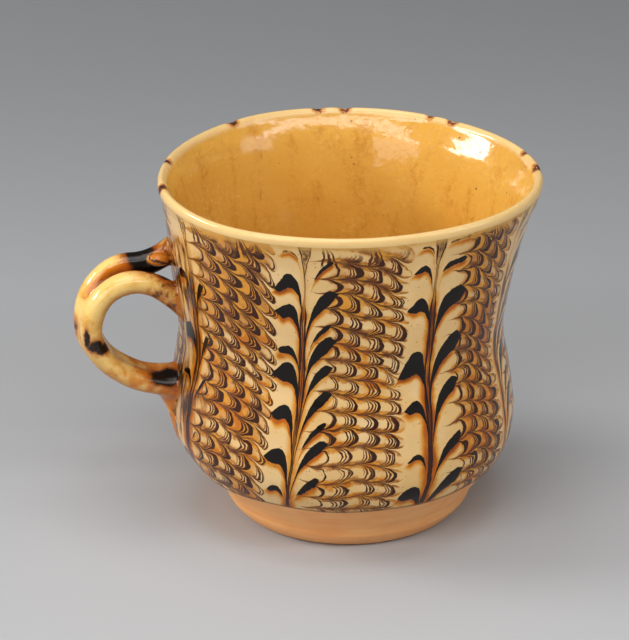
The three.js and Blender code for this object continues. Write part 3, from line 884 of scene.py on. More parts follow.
@dataclass
class Pot:
    """The thrown pot: clay body, slip coat and glaze lining, all turned from one outline."""

    coat_thickness: float = 0.9
    lining_thickness: float = 0.6
    wall_thickness: float = 5.1
    lip_thickness: float = 3.8
    lip_bevel: float = 1.3  # how much the lip is thinned from inside over its last few millimetres
    bevel_from: float = 0.9  # share of the outline
    thinning_from: float = 0.5
    base_radius: float = 29.4
    base_edge: float = 0.7  # radius of the rounded edge under the foot
    foot: tuple[tuple[float, float], ...] = ((32.1, 3.1), (34.7, 8.4))  # (radius, height)
    outside: tuple[tuple[float, float], ...] = (
        (41.5, 15.8), (44.4, 21.2), (45.7, 27.5), (44.9, 38.5), (42.95, 51.5), (44.3, 64.0), (47.4, 83.5),
        (49.7, 91.8),
    )
    floor_thickness: float = 7.2
    floor_flat_radius: float = 13.0
    lean: float = 1.9  # towards the handle, most at the waist
    lean_from: float = 10.0
    lean_to: float = 89.0
    lean_fullness: float = 0.7
    rim_lobe: float = 0.9  # how far the mouth's three soft corners stand out
    rim_lobe_turn: float = -26.0
    rim_lobe_from: float = 56.0
    back_overlap: float = 0.02  # how far the coat's hidden back reaches into the clay
    groove_pitches: tuple[float, float] = (1.9, 5.3)  # of the turning on the foot, fine and coarse
    groove_depths: tuple[float, float] = (0.025, 0.06)
    foot_waver: float = 0.12
    edge_waver: float = 0.35  # of the coat's lower edge, up and down
    ring_pitch: float = 7.3  # of the throwing rings on the outside
    ring_depth: float = 0.05
    coat_waver: float = 0.1
    lip_waver: float = 0.22
    # Degrees round the pot of each spine, at even steps from the coat's foot to the lip
    spines: tuple[tuple[float, ...], ...] = (
        (-165.0, -163.6, -160.7, -159.9, -157.7, -158.0, -158.0),
        (-122.2, -118.0, -115.4, -114.5, -113.4, -113.3, -113.3),
        (-73.2, -71.7, -70.5, -70.3, -70.6, -71.5, -72.6),
        (-29.8, -31.3, -32.0, -32.7, -34.3, -36.3, -37.0),
        (11.6, 12.4, 13.0, 13.3, 14.4, 15.6, 16.0),
        (59.0, 58.4, 58.0, 57.7, 57.1, 56.3, 56.0),
        (102.2, 103.5, 104.0, 104.6, 105.8, 107.4, 108.0),
        (148.1, 148.8, 149.0, 149.3, 149.9, 150.7, 151.0),
    )
    chip_angles: tuple[float, ...] = (118.7, 88.5, 80.0, 51.0, 42.5, 5.6, -7.8, 160.0, -177.0)
    chip_sizes: tuple[float, ...] = (1.3, 1.1, 1.2, 0.9, 1.2, 1.0, 1.7, 1.1, 1.4)
    chip_width: float = 1.4  # half width of a chip of size 1
    full_chip: float = 1.2  # size from which a chip is as deep as any
    chip_depth: float = 0.4
    around: int = 384  # faces round the pot
    up: int = 110  # faces up the coat
    outline: Curve = field(init=False)

    def __post_init__(self) -> None:
        """Draws the outline, and reads the mouth and the lip's inner edge from the sizes."""
        self.outline = Curve(self.outside)
        self.mouth_radius, self.mouth_height = self.outside[-1]
        self.edge_depth = self.lip_thickness - self.lip_bevel

    def wall(self, share: np.ndarray, depth: Any) -> np.ndarray:
        """Points (radius, height) of the outline moved square to it, inwards for a positive depth.

        Args:
            share: places along the outline.
            depth: how far in, in mm.

        Returns:
            The points.
        """
        at, t = self.outline.at(share), self.outline.along(share)
        depth = np.broadcast_to(depth, np.shape(share))
        return at + np.stack([-t[..., 1], t[..., 0]], -1) * depth[..., None]

    def inner_depth(self, share: np.ndarray) -> np.ndarray:
        """Depth of the lining's face: the whole wall, thinner towards the lip.

        Args:
            share: places along the outline.

        Returns:
            The depth in mm.
        """
        bevel = self.lip_bevel * np.clip((share - self.bevel_from) / (1 - self.bevel_from), 0, 1) ** 1.7
        thinned = (self.lip_thickness - self.wall_thickness) * smooth(share, self.thinning_from, 1)
        return self.wall_thickness + thinned - bevel

    def lip(self, outer: float, inner: float, steps: int) -> np.ndarray:
        """A half ellipse over the top of the outline, from an outer to an inner depth, without its ends.

        Args:
            outer, inner: depths in mm.
            steps: how many stretches it has.

        Returns:
            Rows of (radius, height).
        """
        share = np.array([1.0])
        middle = self.wall(share, (outer + inner) / 2)[0]
        t = self.outline.along(share)[0]
        a = np.pi * np.arange(1, steps)[:, None] / steps
        square = np.array([t[1], -t[0]])
        rise = (self.lip_thickness - outer) / 2
        return middle + (inner - outer) / 2 * np.cos(a) * square + rise * np.sin(a) * t

    def floor(self, wall_foot: np.ndarray, height: float, inset: float, steps: int) -> np.ndarray:
        """The quadratic turn from the wall into the flat floor, and on to the axis.

        Args:
            wall_foot: where the wall ends, (radius, height).
            height: height of the floor.
            inset: how much smaller the flat middle is.
            steps: how many stretches the turn has.

        Returns:
            Rows of (radius, height).
        """
        slope = self.outline.along(np.array([0.0]))[0]
        corner = np.array([wall_foot[0] - (wall_foot[1] - height) * slope[0] / slope[1], height])
        flat = np.array([self.floor_flat_radius - inset, height])
        t = np.linspace(0, 1, steps + 1)[1:, None]
        turn = (1 - t) ** 2 * wall_foot + 2 * t * (1 - t) * corner + t**2 * flat
        middle = np.stack([np.linspace(flat[0], 0, 8)[1:], np.full(7, height)], -1)
        return np.vstack([turn, middle])

    def lean_at(self, height: np.ndarray) -> np.ndarray:
        """How far the pot stands off the foot's axis along +X at a height."""
        along = np.clip((height - self.lean_from) / (self.lean_to - self.lean_from), 0, 1)
        return -self.lean * np.maximum(np.sin(np.pi * along), 0) ** self.lean_fullness

    def swell_at(self, angle: np.ndarray, height: np.ndarray) -> np.ndarray:
        """How the mouth's three soft corners scale the radius.

        Args:
            angle: radians round the pot.
            height: mm above the table.

        Returns:
            The factor, about 1.
        """
        lobes = np.cos(3 * (angle - math.radians(self.rim_lobe_turn)))
        grown = smooth(height, self.rim_lobe_from, self.mouth_height)
        return 1 + self.rim_lobe / self.mouth_radius * grown * lobes

    def warped(self, radius: np.ndarray, height: np.ndarray, angle: np.ndarray) -> np.ndarray:
        """Points in space of the turned surface: a circle that swells with its corners and then leans.

        Args:
            radius, height: mm.
            angle: radians.

        Returns:
            The points.
        """
        r = radius * self.swell_at(angle, height)
        x, y = r * np.cos(angle) + self.lean_at(height), r * np.sin(angle)
        return np.stack([x, y, height + 0 * angle], -1)

    def height_off_wall(self, points: np.ndarray) -> np.ndarray:
        """Distance from the finished outside, positive outside it, for points near the wall.

        Args:
            points: places in space, in mm.

        Returns:
            The distances in mm.
        """
        x, y, z = points[..., 0] - self.lean_at(points[..., 2]), points[..., 1], points[..., 2]
        angle = np.arctan2(y, x)
        line = self.outline.line
        radius = np.interp(z, line[:, 1], line[:, 0])
        slope = np.interp(z, line[:, 1], np.gradient(line[:, 0], line[:, 1]))
        return (np.hypot(x, y) / self.swell_at(angle, z) - radius) / np.sqrt(1 + slope**2)

    def turned(
        self,
        name: str,
        profile: np.ndarray,
        reshape: Callable[[np.ndarray, np.ndarray], np.ndarray],
    ) -> tuple[bpy.types.Object, np.ndarray, np.ndarray]:
        """Turns a profile into a closed shell of rings.

        Args:
            name: the piece's name.
            profile: (radius, height) rows, anticlockwise with the radius to the right. It either starts and
                ends on the axis or is a loop whose last row repeats the first.
            reshape: changes the (radius, height) grid, given the angle grid, before it is placed.

        Returns:
            The object, the angle of each face corner and the profile row of each face corner.
        """
        around = self.around
        poles = profile[0, 0] < 1e-6
        rows = profile[1:-1] if poles else profile[:-1]
        turns = np.linspace(-np.pi, np.pi, around + 1)
        angle = np.broadcast_to(np.linspace(-np.pi, np.pi, around, endpoint=False), (len(rows), around))
        grid = reshape(np.repeat(rows[:, None], around, 1), angle)
        points = self.warped(grid[..., 0], grid[..., 1], angle).reshape(-1, 3)
        number = np.arange(len(points)).reshape(angle.shape)
        row, east = np.arange(len(rows)), np.roll(np.arange(around), -1)
        here, after = (row[:-1], row[1:]) if poles else (row, np.roll(row, -1))
        low, high = number[here], number[after]
        faces = np.stack([low, low[:, east], high[:, east], high], -1).reshape(-1, 4)
        west_turn, east_turn = (np.broadcast_to(t, low.shape) for t in (turns[:-1], turns[1:]))
        low_row, high_row = (np.broadcast_to(r[:, None], low.shape) for r in (here, after))
        corner_angle = np.stack([west_turn, east_turn, east_turn, west_turn], -1)
        corner_row = np.stack([low_row, low_row, high_row, high_row], -1)
        if poles:
            bottom, top = (np.full(around, len(points) + k) for k in (0, 1))
            ends = self.warped(np.zeros(2), profile[[0, -1], 1], np.zeros(2))
            points = np.vstack([points, ends])
            first, last = number[0], number[-1]
            under = np.stack([bottom, first[east], first, first], -1)
            over = np.stack([last, last[east], top, top], -1)
            faces = np.vstack([faces, under, over])
        return mesh_object(name, points, faces), corner_angle.ravel(), corner_row.ravel()

    def body(self) -> bpy.types.Object:
        """The clay: flat base, turned foot, wall behind slip and glaze, and hollow.

        Returns:
            The piece.
        """
        under, edge, top = self.coat_thickness, self.base_edge, self.outside[0]
        hidden = self.lining_thickness
        share = np.linspace(0, 1, 40)
        foot = Curve([(self.base_radius, 0.0), *self.foot, (top[0] - under, top[1] - 0.1)])
        side = foot.at(np.linspace(0, 1, 60))
        side = side[side[:, 1] > edge]
        arc = np.linspace(0, np.pi / 2, 5)[:-1]
        toe = np.stack([self.base_radius - edge + edge * np.sin(arc), edge - edge * np.cos(arc)], -1)
        base = np.stack([np.linspace(0, self.base_radius - edge, 30)[:-1], np.zeros(29)], -1)
        outer = self.wall(share, under)[1:]
        lip = self.lip(under, self.edge_depth - hidden, 8)
        inner = self.wall(share, self.inner_depth(share) - hidden)
        floor = self.floor(inner[0], self.floor_thickness - hidden, hidden, 10)

        def turning(grid: np.ndarray, angle: np.ndarray) -> np.ndarray:
            """Shallow grooves that the turning tool left on the foot, a spiral that fades at its ends.

            Args:
                grid: (radius, height) of each point.
                angle: radians round the pot.

            Returns:
                The changed grid.
            """
            z = grid[..., 1]
            on_foot = smooth(z, 0.8, 2.0) * smooth(z, 14.5, 12.0) * (grid[..., 0] > self.base_radius - 3)
            (fine, coarse), (shallow, deep) = self.groove_pitches, self.groove_depths
            groove = np.cos(2 * np.pi * z / fine + angle) * shallow
            groove = groove + np.cos(2 * np.pi * z / coarse + 2) * deep
            grid[..., 0] += on_foot * (groove + self.foot_waver * ripple(angle, (2, 3, 5), 1.3))
            return grid

        profile = np.vstack([base, toe, side, outer, lip, inner[::-1], floor])
        return self.turned("thrown_clay_body", profile, turning)[0]

    def coat(self) -> bpy.types.Object:
        """The slip and its glaze, with a soft, slightly uneven lower edge and a UV map for the combing.

        Returns:
            The piece.
        """
        share, inner_share = np.linspace(0, 1, self.up + 1), np.linspace(1, 0, 24)
        outer = self.wall(share, 0.0)
        inner = self.wall(inner_share, self.coat_thickness + self.back_overlap)
        arc = np.linspace(0, np.pi, 9)[1:-1, None]
        t = self.outline.along(np.array([0.0]))[0]
        square = np.array([t[1], -t[0]])
        half = self.coat_thickness / 2
        middle = self.wall(np.array([0.0]), half)[0]
        bead = middle - half * (np.cos(arc) * square + 0.9 * np.sin(arc) * t)

        def uneven(grid: np.ndarray, angle: np.ndarray) -> np.ndarray:
            """The lower edge wavers up and down, and the outside swells a little in soft throwing rings.

            Args:
                grid: (radius, height) of each point.
                angle: radians round the pot.

            Returns:
                The changed grid.
            """
            z = grid[..., 1]
            low = smooth(z, self.outside[0][1] + 6, self.outside[0][1] - 0.5)
            grid[..., 1] = z + low * self.edge_waver * ripple(angle, (2, 5, 9), 0.7)
            rings = self.ring_depth * np.cos(2 * np.pi * z / self.ring_pitch + angle)
            rings = rings + self.coat_waver * ripple(angle, (3, 4, 7), 2.12)
            grid[..., 0] += rings * smooth(z, 20, 26) * smooth(z, 90, 84)
            return grid

        profile = np.vstack([outer, inner, bead, outer[:1]])
        obj, angle, row = self.turned("feathered_slip_coat", profile, uneven)
        rise = np.concatenate([share, inner_share, np.zeros(len(bead))])[row]
        add_uv(obj, "comb", np.stack([(self.spine_turn(angle, rise) + 0.5) / len(self.spines), rise], -1))
        LOG.info("coat: %.1f mm up the outside", self.outline.length)
        return obj

    def spine_turn(self, angle: np.ndarray, rise: np.ndarray) -> np.ndarray:
        """Place round the pot in spines: straight-line between the spines, which wander as they rise.

        Args:
            angle: radians round the pot.
            rise: share of the way up the outside.

        Returns:
            A whole number on each spine, and what lies between two of them in between.
        """
        degrees = np.degrees(angle)
        steps = np.linspace(0, 1, len(self.spines[0]))
        marks = [np.polyval(np.polyfit(steps, path, 4), rise) for path in self.spines]
        marks = [marks[-1] - 360, *marks, marks[0] + 360]
        turn = np.full(degrees.shape, -1.0)
        for k, (mark, following) in enumerate(zip(marks, marks[1:])):
            span = (degrees - mark) / (following - mark)
            turn = np.where(span >= 0, k - 1 + span, turn)
        return turn

    def lining(self) -> bpy.types.Object:
        """The honey glaze from the floor up and over the lip, chipped along its rim.

        Returns:
            The piece.
        """
        thin, top = self.lining_thickness, self.mouth_height
        share = np.linspace(0, 1, 80)
        face = self.wall(share, self.inner_depth(share))
        back = self.wall(share[::4], self.inner_depth(share[::4]) - thin)
        underside = self.floor(back[0], self.floor_thickness - thin, thin, 10)
        hidden_lip = self.lip(thin, self.edge_depth - thin, 8)
        ends = self.wall(np.array([1.0, 1.0]), np.array([thin, 0.0]))
        arch = self.lip(0.0, self.edge_depth, 18)
        floor = self.floor(face[0], self.floor_thickness, 0.0, 16)

        def chipped(grid: np.ndarray, angle: np.ndarray) -> np.ndarray:
            """Small scoops out of the rim at the chips, and the slight wave of a hand-wiped lip.

            Args:
                grid: (radius, height) of each point.
                angle: radians round the pot.

            Returns:
                The changed grid.
            """
            z = grid[..., 1]
            near = smooth(z, top - 1.6, top + 1.2)
            outwards = smooth(grid[..., 0], self.mouth_radius - 3.0, self.mouth_radius - 1.4)
            grid[..., 1] = z + near * self.lip_waver * ripple(angle, (2, 3, 5, 8), 0.4)
            crest = smooth(z, top - 0.4, top + 0.9) * outwards
            grid[..., 1] -= self.chips(angle) * crest * self.chip_depth
            return grid

        profile = np.vstack([underside[::-1], back, hidden_lip[::-1], ends, arch, face[::-1], floor])
        obj = self.turned("honey_glaze_lining", profile, chipped)[0]
        points = np.empty(len(obj.data.vertices) * 3, np.float32)
        obj.data.vertices.foreach_get("co", points)
        x, y, z = (points.reshape(-1, 3) / MM).T
        angle = np.arctan2(y, x)
        inwards = self.mouth_radius - np.hypot(x - self.lean_at(z), y) / self.swell_at(angle, z)
        near_top = smooth(z, top - 1.4, top + 0.4)
        add_attribute(obj, "chip", self.chips(angle) * near_top * smooth(inwards, 2.9, 1.3))
        add_attribute(obj, "lip", near_top * smooth(inwards, 3.4, 1.7))
        return obj

    def chips(self, angle: np.ndarray) -> np.ndarray:
        """How much of the rim is chipped away at an angle: a bell round each chip, 1 at its middle.

        Args:
            angle: radians round the pot.

        Returns:
            The share, from 0 to 1.
        """
        total = np.zeros(np.shape(angle))
        for degrees, size in zip(self.chip_angles, self.chip_sizes):
            off = np.degrees(np.angle(np.exp(1j * (angle - math.radians(degrees)))))
            width = math.degrees(size * self.chip_width / self.mouth_radius)
            total = np.maximum(total, np.exp(-((off / width) ** 2)) * min(size / self.full_chip, 1.0))
        return total


# The handle


def soft_least(a: np.ndarray, b: np.ndarray, radius: Any) -> np.ndarray:
    """The smaller of two fields, rounded where they cross: min(a, b) - h*h*r/4 with h = 1 - |a - b|/r."""
    h = np.clip(1 - np.abs(a - b) / radius, 0, 1)
    return np.minimum(a, b) - h * h * radius / 4


def surface_net(values: np.ndarray, low: np.ndarray, step: float) -> tuple[np.ndarray, np.ndarray]:
    """The closed surface where a field on a grid of points is zero, inside where it is below zero.

    Each grid cell that the surface goes through has one corner point, the mean of the crossings on its
    edges, and each grid edge that is crossed has one four-sided face between its four cells.

    Args:
        values: the field, one number for each grid point.
        low: the grid's lowest corner.
        step: the grid's spacing.

    Returns:
        The corner points and the faces, which point outwards.
    """
    cells = tuple(n - 1 for n in values.shape)
    total, count = np.zeros((*cells, 3)), np.zeros(cells)
    crossings = []
    for axis in range(3):
        a, b = (values.take(range(k, cells[axis] + k), axis) for k in (0, 1))
        on = (a < 0) != (b < 0)
        place = np.stack(np.indices(a.shape, dtype=float), -1)
        place[..., axis] += np.where(on, a / np.where(on, a - b, 1), 0)
        others = [k for k in range(3) if k != axis]
        for shift in ((0, 0), (0, 1), (1, 0), (1, 1)):
            cut = [slice(None)] * 3
            for k, s in zip(others, shift):
                cut[k] = slice(s, cells[k] + s)
            total += np.where(on[tuple(cut)][..., None], place[tuple(cut)], 0)
            count += on[tuple(cut)]
        crossings.append((axis, on, a < 0))
    used = count > 0
    number = np.full(cells, -1)
    number[used] = np.arange(used.sum())
    points = total[used] / count[used][:, None] * step + low
    faces = []
    for axis, on, rising in crossings:
        b, c = (axis + 1) % 3, (axis + 2) % 3
        where = np.argwhere(on)
        inside = (where[:, b] > 0) & (where[:, c] > 0) & (where[:, b] < cells[b]) & (where[:, c] < cells[c])
        where = where[inside]
        quad = []
        for db, dc in ((-1, -1), (0, -1), (0, 0), (-1, 0)):
            cell = where.copy()
            cell[:, b] += db
            cell[:, c] += dc
            quad.append(number[tuple(cell.T)])
        quad = np.stack(quad, -1)
        flip = ~rising[tuple(where.T)]
        quad[flip] = quad[flip][:, ::-1]
        faces.append(quad)
    return points, np.vstack(faces)


class Roll(Enum):
    """The handle's two rolls, by the side on which each lies along Y."""

    FRONT = -1
    BACK = 1


@dataclass
class Handle:
    """Two rolls of clay side by side, their roots, the curl between them and the tail down the wall."""

    pot: Pot
    loop: tuple[float, float] = (24.0, 56.0)  # how far from the wall it reaches, and its middle's height
    crown: tuple[float, float] = (10.6, 69.0)  # its top, from the wall, and the height there
    heel: tuple[float, float] = (-1.6, 38.4)
    front_root_height: float = 56.4
    back_root_height: float = 76.2
    back_lift: float = 1.3
    front_inset: float = 0.6  # the front roll's loop is this much smaller
    front_slimness: float = 0.88
    back_taper: float = 0.16  # how much thinner the back roll becomes before its root
    root_depth: float = 5.0  # how far a roll's centre line runs on into the wall
    fork_pull: tuple[float, float] = (0.34, 0.66)
    fork_fall: float = 0.38
    thickness: tuple[float, float] = (6.3, 6.8)  # at the heel and at the roots
    outer_half: float = 3.3  # half width of a roll on its free side
    inner_lap: tuple[float, float] = (0.25, 0.15)  # past the middle, and past a roll's own half width
    inner_loss: float = 0.6  # how much of that half width is gone at the roots
    roundness: tuple[float, float] = (2.0, 2.5)  # of the section on the free and on the inner side
    uneven: tuple[tuple[float, int], ...] = ((0.025, 17), (0.02, 41))  # waves in the thickness
    spacing: tuple[float, float, float] = (5.4, 7.2, 9.6)  # of the rolls at the heel, the crown, the roots
    spread: tuple[float, float, float] = (0.25, 0.62, 0.8)  # where that grows, as shares of the run
    heel_flare: float = 0.3
    root_flares: tuple[float, float] = (0.04, 0.16)  # of the front and the back roll
    flare_length: float = 2.6
    wad: tuple[float, float, float] = (3.2, -0.8, 73.2)  # the curl: off the wall, sideways, height
    wad_halves: tuple[float, float, float] = (2.7, 2.2, 1.7)
    tail_top: tuple[float, float, float] = (36.4, 5.2, 4.4)  # height, how proud, half width
    tail_tip: tuple[float, float, float] = (22.5, 0.5, 1.4)
    tail_hollow: float = 2.6
    tail_head: float = 1.5  # how far the tail runs on above its top
    groove_fill: tuple[float, float] = (2.6, 0.6)  # on the loop and at the roots
    curl_fillet: float = 0.8
    tail_fillet: float = 2.2
    root_fillet: float = 1.2
    foot_sink: float = 0.2  # how deep under the face of the wall its fillets run out
    sunk: float = 1.4  # how deep the skin closes behind the face of the wall
    apron: float = 2.0  # how far it runs on there beyond the handle
    tail_margin: float = 2.5  # and below the tail's tip
    groove_width: float = 2.2
    joint_width: float = 1.6  # how far from the wall glaze gathers
    box_low: tuple[float, float, float] = (-76.5, -13.5, 16.5)
    box_high: tuple[float, float, float] = (-36.0, 13.5, 86.5)
    grid_step: float = 0.38
    block: int = 20000  # points whose distances are worked out at a time

    def reach(self, height: float) -> float:
        """Distance of the wall from the foot's axis on the handle's side at a height.

        Args:
            height: mm above the table.

        Returns:
            The distance in mm.
        """
        line = self.pot.outline.line
        radius = np.interp(height, line[:, 1], line[:, 0])
        return float(-self.pot.warped(np.array(radius), np.array(height), np.array(np.pi))[0])

    def run(self, root_height: float, lift: float, inset: float) -> np.ndarray:
        """A roll's centre line from the heel, round two quarter ellipses and over into its root.

        Args:
            root_height: where it runs into the wall.
            lift: how much higher its crown is.
            inset: how much smaller its loop is.

        Returns:
            Rows of (x, z), evenly spaced.
        """
        heel = self.reach(self.heel[1]) + self.heel[0]
        loop = self.reach(self.loop[1]) + self.loop[0] - inset
        crown = self.reach(self.crown[1]) + self.crown[0]
        top = self.crown[1] + lift - inset
        root = self.reach(root_height) - self.root_depth
        start = np.array([[heel + self.heel[0] - self.root_depth, self.heel[1]]])
        a = np.linspace(-np.pi / 2, 0, 60)[:, None]
        b = np.linspace(0, np.pi / 2, 60)[1:, None]
        low_sweep = [(loop - heel) * np.cos(a), (self.loop[1] - self.heel[1]) * np.sin(a)]
        high_sweep = [(loop - crown) * np.cos(b), (top - self.loop[1]) * np.sin(b)]
        lower = np.array([heel, self.loop[1]]) + np.hstack(low_sweep)
        upper = np.array([crown, self.loop[1]]) + np.hstack(high_sweep)
        gap, fall = crown - root, root_height - top
        hold = np.array([
            [crown, top],
            [crown - self.fork_pull[0] * gap, top],
            [crown - self.fork_pull[1] * gap, top + self.fork_fall * fall],
            [root, root_height],
        ])
        t = np.linspace(0, 1, 50)[1:, None]
        near, far = (1 - t) ** 3 * hold[0] + 3 * t * (1 - t) ** 2 * hold[1], 3 * t**2 * (1 - t) * hold[2]
        fork = near + far + t**3 * hold[3]
        line = np.vstack([start, lower, upper, fork])
        steps = np.concatenate([[0], np.cumsum(np.linalg.norm(np.diff(line, axis=0), axis=1))])
        even = np.linspace(0, steps[-1], 170)
        return np.stack([-np.interp(even, steps, line[:, 0]), np.interp(even, steps, line[:, 1])], -1)

    def roll_field(self, points: np.ndarray, roll: Roll) -> tuple[np.ndarray, np.ndarray]:
        """Distance from one roll's skin, and the share of its run that is nearest.

        The section is a rounded ellipse: it is as thick as the roll in the plane of the loop, half a roll
        wide towards the free side, and reaches just past the middle towards the other roll.

        Args:
            points: places in space.
            roll: which roll.

        Returns:
            The distance, below zero inside, and the share from the heel to the root.
        """
        side, front = roll.value, roll is Roll.FRONT
        ends = (self.front_root_height, 0, self.front_inset) if front else (
            self.back_root_height, self.back_lift, 0)
        line = self.run(*ends)
        flat = points[:, [0, 2]]
        away, nearest = np.empty(len(flat)), np.empty(len(flat), int)
        for start in range(0, len(flat), self.block):
            part = slice(start, start + self.block)
            gaps = ((flat[part, None] - line[None]) ** 2).sum(-1)
            nearest[part] = gaps.argmin(1)
            away[part] = np.sqrt(gaps.min(1))
        share = nearest / (len(line) - 1)
        length = np.linalg.norm(np.diff(line, axis=0), axis=1).sum()
        heel, crown, root = self.spacing
        from_heel, to_crown, from_fork = self.spread
        spacing = heel + (crown - heel) * smooth(share, from_heel, to_crown)
        spacing = spacing + (root - spacing) * smooth(share, from_fork, 1)
        to_wall = np.minimum(share, 1 - share) * length - self.root_depth
        widening = np.where(share < 0.5, self.heel_flare, self.root_flares[0 if front else 1])
        flare = 1 + widening * np.exp(-np.maximum(to_wall, 0) / self.flare_length)
        thick = (self.thickness[0] + (self.thickness[1] - self.thickness[0]) * share) / 2 * flare
        thick = thick * (self.front_slimness if front else 1 - self.back_taper * smooth(share, 0.8, 0.95))
        (coarse, slow), (fine, fast) = self.uneven
        thick = thick * (1 + coarse * np.sin(share * slow + side) + fine * np.sin(share * fast + 2 * side))
        across = side * points[:, 1] - spacing / 2
        past_middle, past_half = self.inner_lap
        own = self.outer_half + past_half - self.inner_loss * smooth(share, 0.84, 0.97)
        width = np.where(across > 0, self.outer_half * flare, np.minimum(spacing / 2 + past_middle, own))
        round_out = np.where(across > 0, *self.roundness)
        ratio = ((away / thick) ** round_out + (np.abs(across) / width) ** round_out) ** (1 / round_out)
        return (ratio - 1) * np.minimum(thick, width), share

    def field(self, points: np.ndarray) -> dict[str, np.ndarray]:
        """The whole handle as one field, with the parts that its finish asks for.

        Args:
            points: places in space, one row each.

        Returns:
            "skin" is below zero inside the handle; "groove", "wall" and "share" describe the place.
        """
        front, front_share = self.roll_field(points, Roll.FRONT)
        back, back_share = self.roll_field(points, Roll.BACK)
        wall = self.pot.height_off_wall(points)
        on_loop, at_roots = self.groove_fill
        rolls = soft_least(front, back, on_loop + (at_roots - on_loop) * smooth(back_share, 0.45, 0.85))
        x, y, z = points.T
        stand_off, side, height = self.wad
        rx, ry, rz = self.wad_halves
        centre = self.reach(height) + stand_off
        curl = np.sqrt(((x + centre) / rx) ** 2 + ((y - side) / ry) ** 2 + ((z - height) / rz) ** 2)
        curl = (curl - 1) * min(self.wad_halves)
        top, tip = self.tail_top, self.tail_tip
        down = np.clip((top[0] - z) / (top[0] - tip[0]), 0, 1)
        fade = (1 - down) ** self.tail_hollow
        proud = tip[1] + (top[1] - tip[1]) * fade
        wide = tip[2] + (top[2] - tip[2]) * fade
        beyond = np.maximum(np.maximum(z - top[0] - self.tail_head, tip[0] - z), 0)
        tail = np.sqrt((wall / proud) ** 2 + (y / wide) ** 2 + (beyond / wide) ** 2)
        tail = np.where(x < 0, (tail - 1) * np.minimum(proud, wide), 9.0)
        handle = soft_least(soft_least(rolls, curl, self.curl_fillet), tail, self.tail_fillet)
        skin = soft_least(handle, wall + self.foot_sink, self.root_fillet)
        outskirts = np.maximum(handle - self.apron, tip[0] - self.tail_margin - z)
        skin = np.maximum(np.maximum(skin, -(wall + self.sunk)), outskirts)
        groove = np.exp(-(((front - back) / self.groove_width) ** 2))
        share = np.where(front < back, front_share, back_share)
        return {"skin": skin, "groove": groove, "wall": wall, "share": share}

    def build(self) -> bpy.types.Object:
        """Finds the handle's skin on a grid, then settles its points on the field by Newton steps.

        The field is worked out on every fourth grid point first, and then on all those near its zero.

        Returns:
            The piece.
        """
        step, coarser, reach = self.grid_step, 4, 0.05
        low, high = np.array(self.box_low), np.array(self.box_high)
        axes = [np.arange(a, b + step, step) for a, b in zip(low, high)]
        grid = np.stack(np.meshgrid(*axes, indexing="ij"), -1)
        rough = grid[::coarser, ::coarser, ::coarser]
        values = self.field(rough.reshape(-1, 3))["skin"].reshape(rough.shape[:3])
        for k in range(3):
            at = np.arange(len(axes[k])) / coarser
            base = np.minimum(at.astype(int), values.shape[k] - 2)
            t = (at - base).reshape([-1 if j == k else 1 for j in range(3)])
            values = np.take(values, base, k) * (1 - t) + np.take(values, base + 1, k) * t
        near = np.abs(values) < coarser * step * 1.6
        values[near] = self.field(grid[near])["skin"]
        points, faces = surface_net(values, low, step)
        skin = self.field(points)["skin"]
        slope = np.stack([(self.field(points + reach * e)["skin"] - skin) / reach for e in np.eye(3)], -1)
        move = slope * (skin / np.maximum((slope**2).sum(-1), 0.2))[:, None]
        points = points - np.clip(move, -0.3, 0.3)
        facts = self.field(points)
        obj = mesh_object("two_roll_handle", points, faces, 60.0)
        add_attribute(obj, "groove", facts["groove"])
        add_attribute(obj, "joint", np.exp(-np.maximum(facts["wall"], 0) / self.joint_width))
        add_attribute(obj, "share", facts["share"])
        return obj


# The studio


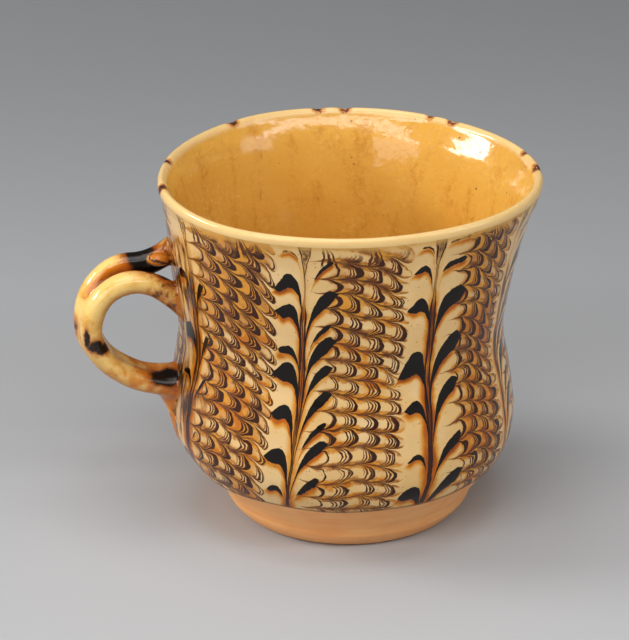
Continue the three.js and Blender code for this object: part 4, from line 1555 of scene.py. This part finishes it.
@dataclass
class Studio:
    """Pale floor, soft lamps and the camera at the photograph's angle."""

    aim: tuple[float, float, float] = (0.0, 0.0, 51.72)
    distance: float = 793.9
    azimuth: float = -11.0
    elevation: float = 23.21
    lens: float = 168.75
    shift: float = -0.0523
    sensor: float = 36.0
    floor_half: float = 3000.0
    surround: float = 0.08  # strength of the white surround
    # Name, middle, width and height in mm, and watts of each lamp
    lamps: tuple[tuple[str, tuple[float, float, float], tuple[float, float], float], ...] = (
        ("left_box", (-900, 250, 480), (450, 150), 5.4),
        ("front_strip", (-60, -560, 690), (2200, 120), 6.5),
        ("left_fill", (-900, -700, 500), (700, 500), 3.6),
        ("right_fill", (900, -560, 420), (500, 400), 2.0),
        ("top_box", (-100, -80, 1200), (900, 700), 6.5),
    )

    def camera(self) -> None:
        """Creates the camera, looking at the mug from above the front, a little to the handle's side."""
        data = bpy.data.cameras.new("camera")
        data.lens = self.lens
        data.sensor_width = self.sensor
        data.shift_x = self.shift
        data.clip_start, data.clip_end = 0.05, 20.0
        obj = bpy.data.objects.new("camera", data)
        bpy.context.scene.collection.objects.link(obj)
        az, el = math.radians(self.azimuth), math.radians(self.elevation)
        away = Vector((math.sin(az) * math.cos(el), -math.cos(az) * math.cos(el), math.sin(el)))
        obj.location = (Vector(self.aim) + away * self.distance) * MM
        obj.rotation_euler = (-away).to_track_quat("-Z", "Y").to_euler()
        bpy.context.scene.camera = obj

    def lamp(self, name: str, place: Sequence[float], size: Sequence[float], power: float) -> None:
        """Adds a soft rectangular lamp that faces the mug.

        Args:
            name: the lamp's name.
            place: its middle, in millimetres.
            size: its width and height, in millimetres.
            power: watts.
        """
        data = bpy.data.lights.new(name, "AREA")
        data.shape = "RECTANGLE"
        data.size, data.size_y = size[0] * MM, size[1] * MM
        data.energy = power
        obj = bpy.data.objects.new(name, data)
        bpy.context.scene.collection.objects.link(obj)
        obj.location = Vector(place) * MM
        obj.rotation_euler = (Vector((0, 0, 0.05)) - obj.location).to_track_quat("-Z", "Y").to_euler()

    def floor(self) -> bpy.types.Object:
        """A plain floor, paler towards the viewer.

        Returns:
            The floor, which is stage and no piece of the mug.
        """
        half = self.floor_half
        points = np.array([[-half, -half, 0], [half, -half, 0], [half, half, 0], [-half, half, 0]], float)
        obj = mesh_object("floor", points, np.array([[0, 1, 2, 3]]))
        w = Wiring("studio_floor")
        depth = w.axis(w.place(), "Y")
        # painted shade: the floor darkens away from the viewer
        colour = w.mix(tint(178, 178, 179), tint(142, 143, 145), depth.step(-200.0, 420.0))
        obj.data.materials.append(w.finish(Base_Color=colour, Roughness=0.9))
        return obj

    def light(self) -> None:
        """A box behind on the left, a long strip in front, two fills, a box overhead and a dim surround."""
        for lamp in self.lamps:
            self.lamp(*lamp)
        world = bpy.data.worlds.new("surround")
        bpy.context.scene.world = world
        world.use_nodes = True
        background = world.node_tree.nodes["Background"].inputs
        background["Color"].default_value = (1.0, 1.0, 1.0, 1.0)
        background["Strength"].default_value = self.surround


def settle(obj: bpy.types.Object, finish: Any, slot: Slot, *nodes: str) -> None:
    """Dresses a piece, says which solids it stands for and reports it.

    Args:
        obj: the piece.
        finish: what it is finished with.
        slot: the record's material slot.
        nodes: the solids that it replaces.
    """
    obj.data.materials.append(finish.material())
    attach(obj, BODY)
    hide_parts(*nodes)
    LOG.info("%s: %d points, %d faces", obj.name, len(obj.data.vertices), len(obj.data.polygons))


def main() -> None:
    """Builds the mug and its studio, and writes both boxes."""
    logging.basicConfig(level=logging.INFO, format="%(name)s %(message)s")
    bpy.context.scene.view_settings.view_transform = "Standard"
    studio = Studio()
    studio.camera()
    pot = Pot()
    settle(pot.body(), BareClay(), Slot.BARE_CLAY, "thrown_body")
    settle(pot.coat(), FeatheredSlip(rise=pot.outline.length), Slot.FEATHERED_SLIP, "slip_coat")
    settle(pot.lining(), HoneyGlaze(), Slot.HONEY_GLAZE, "glaze_lining")
    handle_nodes = ("handle_front_roll", "handle_back_roll", "upper_joint_wad", "lower_joint_tail")
    settle(Handle(pot).build(), HandleGlaze(), Slot.HANDLE_GLAZE, *handle_nodes)
    studio.floor()
    studio.light()


if __name__ == "__main__":
    main()
